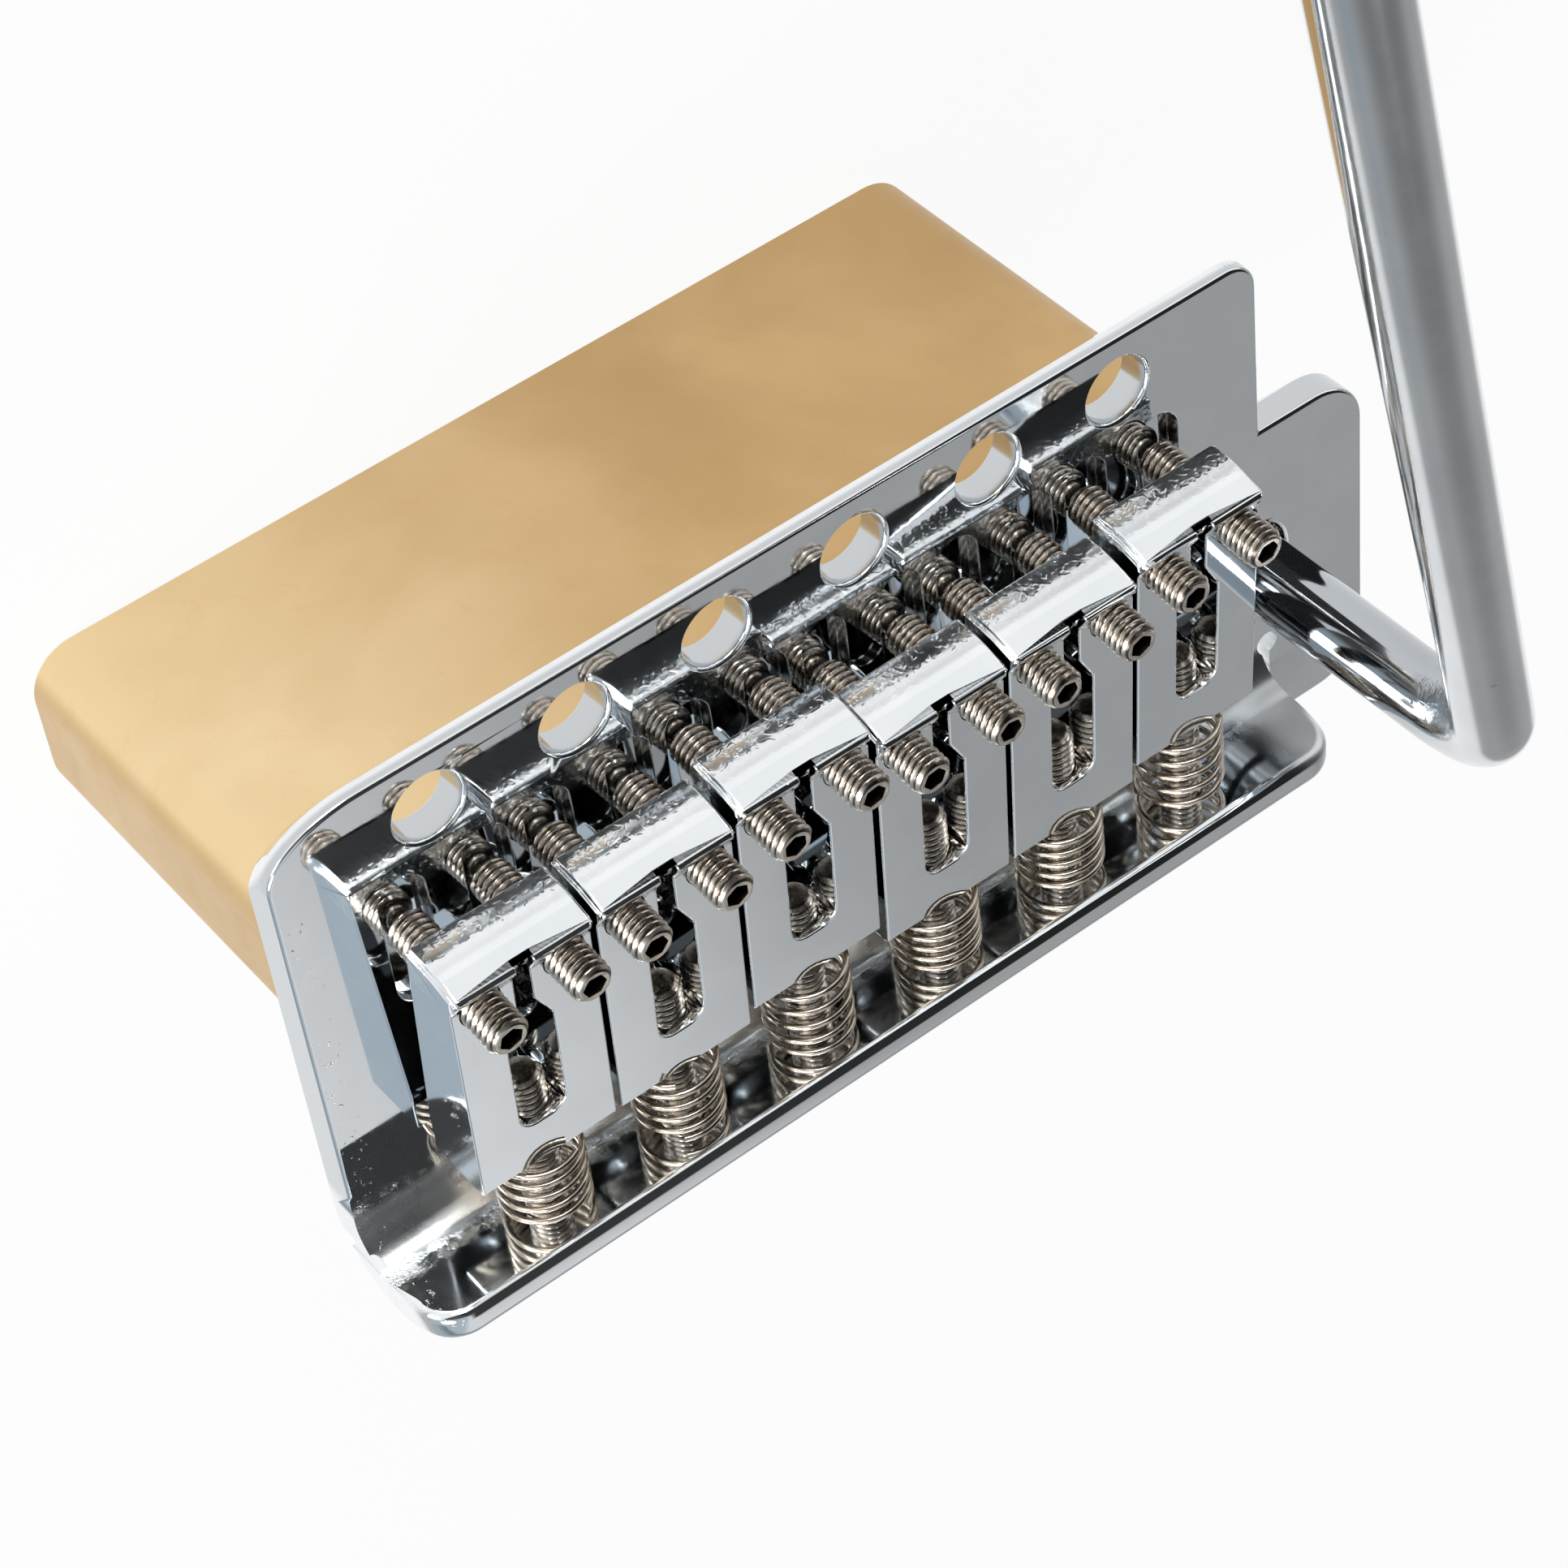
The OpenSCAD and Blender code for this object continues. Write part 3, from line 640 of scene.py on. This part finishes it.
def plate_edges(middle):
    """Shares for the plate: none by the relief cuts and under its left side, most on the lip."""
    x, y, z = middle
    relief = y < RELIEF_FRONT_Y_MM and z < LIP_END_Z_MM and abs(x) > RELIEF_X_MM and x < SLIT_RIGHT_X_MM
    if relief or (z < UNDERSIDE_Z_MM and x < UNDERSIDE_LEFT_X_MM):
        return 0.0
    lip_end = abs(x) > LIP_END_X_MM and z > LIP_END_Z_MM
    if y < LIP_EDGE_Y_MM and (z > LIP_ABOVE_HOLES_Z_MM or lip_end):
        return LIP_REAR_SHARE if y < LIP_REAR_Y_MM else LIP_FRONT_SHARE
    side = x < RIM_LEFT_X_MM or x > RIM_RIGHT_X_MM
    bass_corner = x < BASS_CORNER_MM[0] and y > BASS_CORNER_MM[1]
    treble_corner = x > TREBLE_CORNER_MM[0] and y > TREBLE_CORNER_MM[1]
    if side or y > RIM_FRONT_Y_MM or bass_corner or treble_corner:
        return RIM_SHARE
    return HOLE_SHARE


def plate():
    obj = dressed("base_plate", PLATE_ROUND_MM, plate_edges, segments=5, cuts=(PLATE_CUT_Y_MM,), clamp=False)
    finish_piece(obj, PLATE, "base_plate", "bridge")


# Block and bush

BLOCK_ROUND_MM = 0.30
BLOCK_BOTTOM_ROOM_MM = 0.1
BLOCK_HOLE_SHARE = 0.4
BLOCK_HOLES_X_MM = 34.0
BLOCK_HOLES_Y_MM = (-18.6, -6.9)
BUSH_ROUND_MM = 0.35


def block_edges(middle):
    """Shares for the block: all of it outside, less on the holes in its bottom."""
    x, y, z = middle
    bottom = abs(z - BLOCK_BOTTOM_Z_MM) < BLOCK_BOTTOM_ROOM_MM
    inside = abs(x) < BLOCK_HOLES_X_MM and BLOCK_HOLES_Y_MM[0] < y < BLOCK_HOLES_Y_MM[1]
    return BLOCK_HOLE_SHARE if bottom and inside else 1.0


def block():
    obj = dressed("tremolo_block", BLOCK_ROUND_MM, block_edges)
    finish_piece(obj, BRASS, "tremolo_block", "bridge")


def bush():
    finish_piece(dressed("arm_bush", BUSH_ROUND_MM), STEEL, "arm_bush", "bridge")


# Saddles

SADDLE_ROUND_MM = 0.14
SADDLE_HOLE_SHARE = 0.2
SADDLE_HOLE_REACH_MM = 1.8


def saddle(k):
    """Saddle k, with less rounding round its two height screws."""

    def edges(middle):
        x = middle.x - string_x(k)
        y = middle.y - SADDLE_SHIFT_MM[k - 1] - HEIGHT_TOP_Y_MM
        reach = min(math.hypot(x - HEIGHT_SCREW_X_MM, y), math.hypot(x + HEIGHT_SCREW_X_MM, y))
        return SADDLE_HOLE_SHARE if reach < SADDLE_HOLE_REACH_MM else 1.0

    name = f"saddle_{k}"
    obj = dressed(name, SADDLE_ROUND_MM, edges, clamp=False)
    finish_piece(obj, SADDLE, name, name)


# Height screws and length screws

# Points in each ring of a screw
SIDES = 36
SCREW_R_MM = 1.45
THREAD_PITCH_MM = 0.5
THREAD_DEPTH_MM = 0.24
# Chamfers at a screw's two ends
HEIGHT_CHAMFERS_MM = (0.25, 0.34)
LENGTH_CHAMFERS_MM = (0.45, 0.0)
# Radius, height above the lower end and painted shade value of each ring of the blunt point
HEIGHT_POINT_MM = ((0.60, 0.04, 0.2), (0.80, 0.16, 0.3), (0.84, 0.42, 0.6))
HEIGHT_THREAD_Z_MM = 0.46
# The hex socket: its mouth, widest flats, wall and floor, with a painted shade value for each ring
SOCKET_MOUTH_R_MM = 1.02
SOCKET_FLATS_MM = ((1.52, -0.02), (1.50, -0.08), (1.50, -1.25))
SOCKET_FLOOR_MM = (0.35, -1.5)
SOCKET_SHADES = (0.0, 0.1, 1.2, 2.0, 2.0)
# Each screw stands turned by another angle, in degrees for each string and side
HEIGHT_TURN = (37, 19)
# Radius and height of each ring of a length screw's head, above its shank
LENGTH_HEAD_MM = ((1.5, 0.0), (2.62, 0.0), (2.70, 0.10), (2.70, 0.95), (2.55, 1.35), (2.15, 1.72),
                  (1.45, 1.93), (0.7, 2.0))
LENGTH_HEAD_GAP_MM = 0.05
LENGTH_TIP_R_MM = 0.5
LENGTH_TIP_DEPTH_MM = 0.05
LENGTH_TIP_SHADE = 0.8
# Arm, width and depth of the cross recess, and its height above the shank
LENGTH_RECESS_MM = (1.5, 0.55, 1.2)
LENGTH_RECESS_Z_MM = 1.9
LENGTH_RECESS_TURN = 0.4


def height_screw(k, side):
    """A set screw that leans to the rear, on side -1 or 1 of string k. Its top is at z 0."""
    name = f"height_screw_{k}_" + ("bass" if side < 0 else "treble")
    length = (HEIGHT_TOP_Z_MM - POINT_Z_MM) / math.cos(HEIGHT_LEAN)
    thread, groove_shades = thread_rows(SCREW_R_MM, HEIGHT_THREAD_Z_MM - length, 0.0, THREAD_PITCH_MM,
                                  THREAD_DEPTH_MM, *HEIGHT_CHAMFERS_MM, SIDES)
    point = [circle(r, z - length, SIDES) for r, z, value in HEIGHT_POINT_MM]
    socket = [circle(SOCKET_MOUTH_R_MM, 0.0, SIDES)]
    socket += [hexagon(flats, z, SIDES) for flats, z in SOCKET_FLATS_MM]
    socket.append(circle(*SOCKET_FLOOR_MM, SIDES))
    groove_shades = even_rows([value for r, z, value in HEIGHT_POINT_MM], SIDES) + groove_shades
    groove_shades += even_rows(SOCKET_SHADES, SIDES)
    top = (string_x(k) + side * HEIGHT_SCREW_X_MM, SADDLE_SHIFT_MM[k - 1] + HEIGHT_TOP_Y_MM, HEIGHT_TOP_Z_MM)
    place = Matrix.Translation(top) @ Matrix.Rotation(HEIGHT_LEAN, 4, "X")
    spin = Matrix.Rotation(math.radians(HEIGHT_TURN[0] * k + HEIGHT_TURN[1] * side), 4, "Z")
    rings = point + thread + socket
    obj = ring_mesh(name + "_thread", rings, angle=50, matrix=place @ spin, groove=groove_shades)
    finish_piece(obj, SCREW, name, name)


def length_screw(k):
    """A screw along string k. Its own z runs towards the rear, from the plate's origin."""
    name = f"length_screw_{k}"
    start = -LENGTH_END_Y_MM
    shank_end = -LIP_OUTER_Y_MM + LENGTH_HEAD_GAP_MM
    place = Matrix.Translation((string_x(k), 0, LENGTH_AXIS_Z_MM)) @ Matrix.Rotation(math.pi / 2, 4, "X")
    thread, groove_shades = thread_rows(SCREW_R_MM, start, shank_end, THREAD_PITCH_MM, THREAD_DEPTH_MM,
                                  *LENGTH_CHAMFERS_MM, SIDES)
    rings = [circle(LENGTH_TIP_R_MM, start + LENGTH_TIP_DEPTH_MM, SIDES)] + thread
    rings += [circle(r, shank_end + z, SIDES) for r, z in LENGTH_HEAD_MM]
    groove_shades = even_rows([LENGTH_TIP_SHADE], SIDES) + groove_shades + even_rows([0.0] * len(LENGTH_HEAD_MM), SIDES)
    obj = ring_mesh(name + "_thread", rings, angle=50, matrix=place, groove=groove_shades)
    face = place @ Matrix.Translation((0, 0, shank_end + LENGTH_RECESS_Z_MM))
    cut_cross(obj, face @ Matrix.Rotation(LENGTH_RECESS_TURN * k, 4, "Z"), *LENGTH_RECESS_MM)
    finish_piece(obj, SCREW, name, name)


# Block screws

BLOCK_SCREW_R_MM = 2.0
BLOCK_SCREW_LEN_MM = 13.0
BLOCK_SCREW_PITCH_MM = 0.7
BLOCK_SCREW_DEPTH_MM = 0.3
BLOCK_SCREW_CHAMFERS_MM = (0.5, 0.0)
BLOCK_SCREW_TIP_R_MM = 0.8
# Upper end of the thread, measured from the plate's top
BLOCK_SCREW_THREAD_Z_MM = -1.7
# Radius and height of each ring of the countersunk head, from the plate's top
BLOCK_SCREW_HEAD_MM = ((2.0, -1.5), (3.42, -0.12), (3.42, -0.03), (3.36, 0.0))
BLOCK_SCREW_RECESS_MM = (1.9, 0.7, 1.4)
BLOCK_SCREW_TURN = 0.5


def block_screws():
    """Three equal screws in one node, two string pitches apart."""
    parts = []
    tip_z = PLATE_T_MM - BLOCK_SCREW_LEN_MM
    for i in (-1, 0, 1):
        place = Matrix.Translation((2 * i * STRING_PITCH_MM, BLOCK_ROW_Y_MM, 0))
        thread, _ = thread_rows(BLOCK_SCREW_R_MM, tip_z, PLATE_T_MM + BLOCK_SCREW_THREAD_Z_MM,
                                BLOCK_SCREW_PITCH_MM, BLOCK_SCREW_DEPTH_MM,
                                *BLOCK_SCREW_CHAMFERS_MM, SIDES)
        rings = [circle(BLOCK_SCREW_TIP_R_MM, tip_z, SIDES)] + thread
        rings += [circle(r, PLATE_T_MM + z, SIDES) for r, z in BLOCK_SCREW_HEAD_MM]
        screw = ring_mesh("block_screw", rings, angle=30, matrix=place)
        face = place @ Matrix.Translation((0, 0, PLATE_T_MM))
        turn = Matrix.Rotation(BLOCK_SCREW_TURN + i, 4, "Z")
        cut_cross(screw, face @ turn, *BLOCK_SCREW_RECESS_MM)
        parts.append(screw)
    finish_piece(joined("block_screws_cut", parts), STEEL, "block_screws", "bridge")


# Length springs

# Slightly finer than the solids' wire
WIRE_MM = 0.44
WIRE_SIDES = 12
SPRING_TURNS = 5.0
STEPS_PER_TURN = 36
# Room between the wire and the saddle in front, and the lip behind
SPRING_FRONT_ROOM_MM = 0.10
SPRING_REAR_ROOM_MM = 0.60
# The closed ends: how much of a turn each takes, and how far it climbs
END_TURN = 0.45
END_CLIMB_MM = 0.26
# Degrees by which the wire's end turns from one string to the next
SPRING_END_TURN = 60


def climb(turn, length):
    """How far along a spring of this length its wire has come after so many turns."""
    if turn <= END_TURN:
        return END_CLIMB_MM * turn / END_TURN
    if turn >= SPRING_TURNS - END_TURN:
        return length - END_CLIMB_MM * (SPRING_TURNS - turn) / END_TURN
    share = (turn - END_TURN) / (SPRING_TURNS - 2 * END_TURN)
    return END_CLIMB_MM + (length - 2 * END_CLIMB_MM) * share


def spring(k):
    """A coil of fine wire between saddle k and the lip, which shortens with the saddle."""
    start = SADDLE_REAR_Y_MM + SADDLE_SHIFT_MM[k - 1] - SPRING_FRONT_ROOM_MM - WIRE_MM / 2
    end = LIP_INNER_Y_MM + SPRING_REAR_ROOM_MM + WIRE_MM / 2
    radius = (SPRING_OD_MM - WIRE_MM) / 2
    centre = Vector((string_x(k), 0, LENGTH_AXIS_Z_MM))
    first = math.radians(SPRING_END_TURN * k)
    count = int(SPRING_TURNS * STEPS_PER_TURN)
    path = []
    for n in range(count + 1):
        turn = SPRING_TURNS * n / count
        a = first + 2 * math.pi * turn
        y = start - climb(turn, start - end)
        path.append(centre + Vector((radius * math.cos(a), y, radius * math.sin(a))))
    rings = []
    for n, p in enumerate(path):
        way = (path[min(n + 1, count)] - path[max(n - 1, 0)]).normalized()
        out = Vector((p.x - centre.x, 0, p.z - centre.z)).normalized()
        out = (out - way * out.dot(way)).normalized()
        across = way.cross(out)
        rings.append([p + q.x * out + q.y * across for q in circle(WIRE_MM / 2, 0.0, WIRE_SIDES)])
    name = f"length_spring_{k}"
    obj = ring_mesh(name + "_coil", rings, angle=60)
    obj.data.materials.append(WIRE)
    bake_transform(obj)
    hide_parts(name)


# Arm

ARM_SIDES = 96
ARM_THREAD_R_MM = 2.5
ARM_THREAD_Z_MM = (-12.0, 0.15)
ARM_THREAD_PITCH_MM = 0.8
ARM_THREAD_DEPTH_MM = 0.3
ARM_THREAD_CHAMFERS_MM = (0.5, 0.0)
ARM_TIP_R_MM = 1.2
# Radius and height of the rings where the thread widens to the bar
ARM_SHOULDER_MM = ((2.5, 0.30), (2.56, 0.36), (2.6, 0.55))
ARM_UPRIGHT_STEPS = 8
ARM_BEND_STEPS = 32
ARM_STRAIGHT_STEPS = 40
# Share by which the bar is pressed flat in the middle of the bend
ARM_FLATTENED = 0.035


def arm():
    """One bar along its own axis: threaded end, upright, bend and long straight."""
    thread, _ = thread_rows(ARM_THREAD_R_MM, *ARM_THREAD_Z_MM, ARM_THREAD_PITCH_MM,
                            ARM_THREAD_DEPTH_MM, *ARM_THREAD_CHAMFERS_MM, ARM_SIDES)
    rings = [circle(ARM_TIP_R_MM, ARM_THREAD_Z_MM[0], ARM_SIDES)] + thread
    rings += [circle(r, z, ARM_SIDES) for r, z in ARM_SHOULDER_MM]
    radius = ARM_D_MM / 2
    bend_angle = math.pi / 2 - ARM_RISE
    tangent = ARM_BEND_R_MM * math.tan(bend_angle / 2)
    z_foot = ARM_SHOULDER_MM[-1][1]
    z_bend = ARM_CORNER_Z_MM - tangent
    for n in range(1, ARM_UPRIGHT_STEPS + 1):
        rings.append(circle(radius, z_foot + (z_bend - z_foot) * n / ARM_UPRIGHT_STEPS, ARM_SIDES))
    centre = Vector((ARM_BEND_R_MM, 0, z_bend))
    for n in range(1, ARM_BEND_STEPS + 1):
        share = n / ARM_BEND_STEPS
        turn = Matrix.Rotation(bend_angle * share, 4, "Y")
        flat = 1.0 - ARM_FLATTENED * math.sin(math.pi * share)
        rings.append([centre + turn @ Vector((p.x * flat - ARM_BEND_R_MM, p.y, 0))
                      for p in circle(radius, 0.0, ARM_SIDES)])
    turn = Matrix.Rotation(bend_angle, 4, "Y")
    for n in range(1, ARM_STRAIGHT_STEPS + 1):
        z = (ARM_REACH_MM - tangent) * n / ARM_STRAIGHT_STEPS
        rings.append([centre + turn @ Vector((p.x - ARM_BEND_R_MM, p.y, z))
                      for p in circle(radius, 0.0, ARM_SIDES)])
    base = Matrix.Translation((ARM_X_MM, ARM_Y_MM, 0)) @ Matrix.Rotation(ARM_SWING, 4, "Z")
    obj = ring_mesh("arm_bar", rings, angle=40, matrix=base)
    finish_piece(obj, ARM, "tremolo_arm", "arm")


# Tip of the arm

TIP_SIDES = 72
TIP_MOUTH_DEPTH_MM = 4.0
# How far the tip reaches past the end of the bar
TIP_PAST_BAR_MM = 4.0
# Radius and height of each ring, from inside the tip's mouth to the foot of its dome
TIP_PROFILE_MM = ((2.64, TIP_MOUTH_DEPTH_MM), (2.64, 0.0), (3.35, 0.0), (3.52, 0.14), (3.66, 0.60),
                  (3.88, 1.6), (4.08, 3.0), (4.18, 5.0), (4.20, 8.0), (4.20, 14.0), (4.20, 19.8))
# The dome stops half a step short of its pole
TIP_DOME_STEPS = 16
TIP_DOME_STEP = math.pi / 2 / (TIP_DOME_STEPS + 0.5)


def arm_tip():
    """The moulded tip over the end of the bar."""
    radius = TIP_D_MM / 2
    rings = [circle(r, z, TIP_SIDES) for r, z in TIP_PROFILE_MM]
    for n in range(1, TIP_DOME_STEPS + 1):
        a = n * TIP_DOME_STEP
        rings.append(circle(radius * math.cos(a), TIP_LEN_MM - radius + radius * math.sin(a), TIP_SIDES))
    corner = Matrix.Translation((ARM_X_MM, ARM_Y_MM, ARM_CORNER_Z_MM))
    aim = Matrix.Rotation(ARM_SWING, 4, "Z") @ Matrix.Rotation(-ARM_RISE, 4, "Y")
    reach = Matrix.Translation((ARM_REACH_MM - TIP_LEN_MM + TIP_PAST_BAR_MM, 0, 0))
    place = corner @ aim @ reach @ Matrix.Rotation(math.pi / 2, 4, "Y")
    obj = ring_mesh("arm_tip_moulded", rings, angle=35, matrix=place)
    finish_piece(obj, PLASTIC, "arm_tip", "arm")


# Camera

CAMERA_LENS_MM = 100.11
CAMERA_SENSOR_MM = 36.0
CAMERA_PLACE = (-0.10243332, 0.18028297, 0.16340566)
CAMERA_RIGHT = (0.7881334, -0.09568691, 0.60802119)
CAMERA_DOWN = (-0.49298545, -0.68959303, 0.53049676)
CAMERA_FORWARD = (0.36852558, -0.71784781, -0.59066355)


def add_camera():
    """The camera of the photograph, by its place and the directions of its picture."""
    data = bpy.data.cameras.new("camera")
    data.sensor_width = CAMERA_SENSOR_MM
    data.lens = CAMERA_LENS_MM
    data.clip_start = 0.005
    data.clip_end = 20.0
    camera = link("camera", data)
    rows = [(right, -down, -forward, place)
            for right, down, forward, place in zip(CAMERA_RIGHT, CAMERA_DOWN, CAMERA_FORWARD, CAMERA_PLACE)]
    camera.matrix_world = Matrix(rows + [(0, 0, 0, 1)])
    bpy.context.scene.camera = camera


# Floor

FLOOR_R = 0.75
FLOOR_CENTRE = (0.02, -0.05, -0.0316)
FLOOR_SIDES = 96
FLOOR_WHITE = (0.86, 0.86, 0.86, 1)
WHITE = (1, 1, 1, 1)
BLACK = (0.0, 0.0, 0.0, 1)
# The oval that is seen evenly white: its centre, turn and half axes
OVAL_CENTRE = (0.0386, -0.0926, 0.0)
OVAL_TURN = (0, 0, math.radians(-62.8))
OVAL_SIZE = (0.26, 0.13, 1.0)
# Between two shares of the oval's size the glow darkens with painted shade, from nothing to the last number
OVAL_SHADE_FADE = (0.72, 1.65, 0.0, 0.56)
# The painted shade ends towards the neck between these two places
SHADE_FADE_FRONT_Y = (0.08, 0.22, 1.0, 0.0)
# Share of the floor's own glow in what the camera and the chrome see of it
GLOW_SHARE = 0.93


def add_floor():
    """A round white floor. It glows for the camera and the chrome, with painted shade away from its white
    oval, and only reflects for the rest.
    """
    mesh = bpy.data.meshes.new("floor")
    bm = bmesh.new()
    place = Matrix.Translation(FLOOR_CENTRE)
    bmesh.ops.create_circle(bm, cap_ends=True, radius=FLOOR_R, segments=FLOOR_SIDES, matrix=place)
    bm.to_mesh(mesh)
    bm.free()
    floor = link("floor", mesh)
    material, g = new_material("floor_white")
    g.shader.inputs["Base Color"].default_value = FLOOR_WHITE
    g.shader.inputs["Roughness"].default_value = 0.9
    g.shader.inputs["Specular IOR Level"].default_value = 0.0
    rays = g.node("ShaderNodeLightPath").outputs
    seen = g.math("MAXIMUM", rays["Is Camera Ray"], rays["Is Glossy Ray"])
    seen = g.math("MAXIMUM", seen, rays["Is Transmission Ray"])
    inputs = {"Vector": g.coords, "Location": OVAL_CENTRE, "Rotation": OVAL_TURN, "Scale": OVAL_SIZE}
    oval = g.node("ShaderNodeMapping", inputs, vector_type="TEXTURE").outputs["Vector"]
    reach = g.node("ShaderNodeVectorMath", {0: oval}, operation="LENGTH").outputs["Value"]
    # Painted shade on the floor's glow, outside the white oval
    floor_shade = g.times(g.ramp(reach, *OVAL_SHADE_FADE), g.ramp(g.axis("Y"), *SHADE_FADE_FRONT_Y))
    glow = g.node("ShaderNodeEmission", {"Color": g.mix(floor_shade, WHITE, BLACK), "Strength": 1.0})
    parts = {0: g.times(seen, GLOW_SHARE), 1: g.shader.outputs[0], 2: glow.outputs[0]}
    output = next(n for n in g.tree.nodes if n.type == "OUTPUT_MATERIAL")
    g.tree.links.new(g.node("ShaderNodeMixShader", parts).outputs[0], output.inputs["Surface"])
    mesh.materials.append(material)


# World

# The room darkens towards this azimuth, between two places along it
ROOM_AZIMUTH = math.radians(21.5)
ROOM_TURN = (-0.08, 0.09)
ROOM_BRIGHT = 0.69
ROOM_DARK = 0.335
# Each pair is where an area begins and where it is full, along a direction's X, Y or Z
BLUE_X = (-0.05, -0.26)
BLUE_Y = (0.45, 0.15)
BLUE_LEVEL = 0.47
FRONT_Y = (0.05, 0.30)
FRONT_Z = (0.47, 0.40)
FRONT_LEVEL = 0.92
REAR_Y = (-0.45, -0.70)
REAR_Z = (0.44, 0.30)
# Low behind the bridge the level falls with height, given as two heights and two levels
REAR_LEVEL = (0.05, 0.32, 0.42, 0.22)
DARK_REAR_Y = (-0.58, -0.42)
DARK_Z = (0.39, 0.47)
DARK_X = (-0.10, 0.15)
DARK_FRONT_Y = (0.20, 0.50)
# How much is taken off there, given as two places along X and two shares
DARK_SHARE = (0.25, 0.42, 0.88, 0.95)
ROOM_TINT = (0.985, 1.0, 1.01, 1)
BLUE_TINT = (0.86, 1.0, 1.11, 1)


def add_world():
    """The plain studio that the chrome mirrors, as a brightness for each direction."""
    world = bpy.data.worlds.new("studio")
    bpy.context.scene.world = world
    world.use_nodes = True
    g = Graph(world.node_tree, "Background", "Generated")
    x = g.axis("X")
    y = g.axis("Y")
    z = g.axis("Z")
    along = g.plus(g.times(x, math.cos(ROOM_AZIMUTH)), g.times(y, math.sin(ROOM_AZIMUTH)))
    level = g.ramp(along, *ROOM_TURN, ROOM_BRIGHT, ROOM_DARK)
    blue = g.times(g.ramp(x, *BLUE_X), g.ramp(y, *BLUE_Y))
    level = g.mix_value(blue, level, BLUE_LEVEL)
    front_low = g.times(g.ramp(y, *FRONT_Y), g.ramp(z, *FRONT_Z))
    level = g.mix_value(front_low, level, FRONT_LEVEL)
    rear_low = g.times(g.ramp(y, *REAR_Y), g.ramp(z, *REAR_Z))
    level = g.mix_value(rear_low, level, g.ramp(z, *REAR_LEVEL))
    sides = g.math("MAXIMUM", g.ramp(x, *DARK_X), g.ramp(y, *DARK_FRONT_Y))
    dark = g.times(g.ramp(y, *DARK_REAR_Y), g.ramp(z, *DARK_Z), sides)
    level = g.times(level, g.math("SUBTRACT", 1.0, g.times(dark, g.ramp(x, *DARK_SHARE))))
    tint = g.mix(blue, ROOM_TINT, BLUE_TINT)
    g.fill(g.shader.inputs["Color"], g.mix(level, BLACK, tint))
    g.shader.inputs["Strength"].default_value = 1.0


# Lights

def area_light(name, place, target, size, power, color):
    data = bpy.data.lights.new(name, "AREA")
    data.shape = "DISK"
    data.size = size
    data.energy = power
    data.color = color
    light = link(name, data)
    light.location = place
    light.rotation_euler = (Vector(target) - Vector(place)).to_track_quat("-Z", "Y").to_euler()


def add_lights():
    area_light("key_bass_side", place=(-0.55, -0.10, 0.45), target=(0, -0.02, 0),
               size=0.35, power=3.2, color=(1.0, 0.99, 0.97))
    area_light("low_left", place=(-0.50, 0.25, 0.06), target=(-0.03, 0.0, -0.015),
               size=0.25, power=0.7, color=(1.0, 0.98, 0.94))
    area_light("fill_front", place=(-0.05, 0.55, 0.12), target=(0, -0.02, -0.01),
               size=0.25, power=1.2, color=(1.0, 1.0, 1.0))


# The whole scene

plate()
block()
bush()
for k in STRINGS:
    saddle(k)
for k in STRINGS:
    height_screw(k, -1)
    height_screw(k, 1)
    length_screw(k)
block_screws()
for k in STRINGS:
    spring(k)
arm()
arm_tip()
add_camera()
add_floor()
add_world()
add_lights()

bpy.context.scene.view_settings.view_transform = "Standard"
bpy.context.view_layer.update()
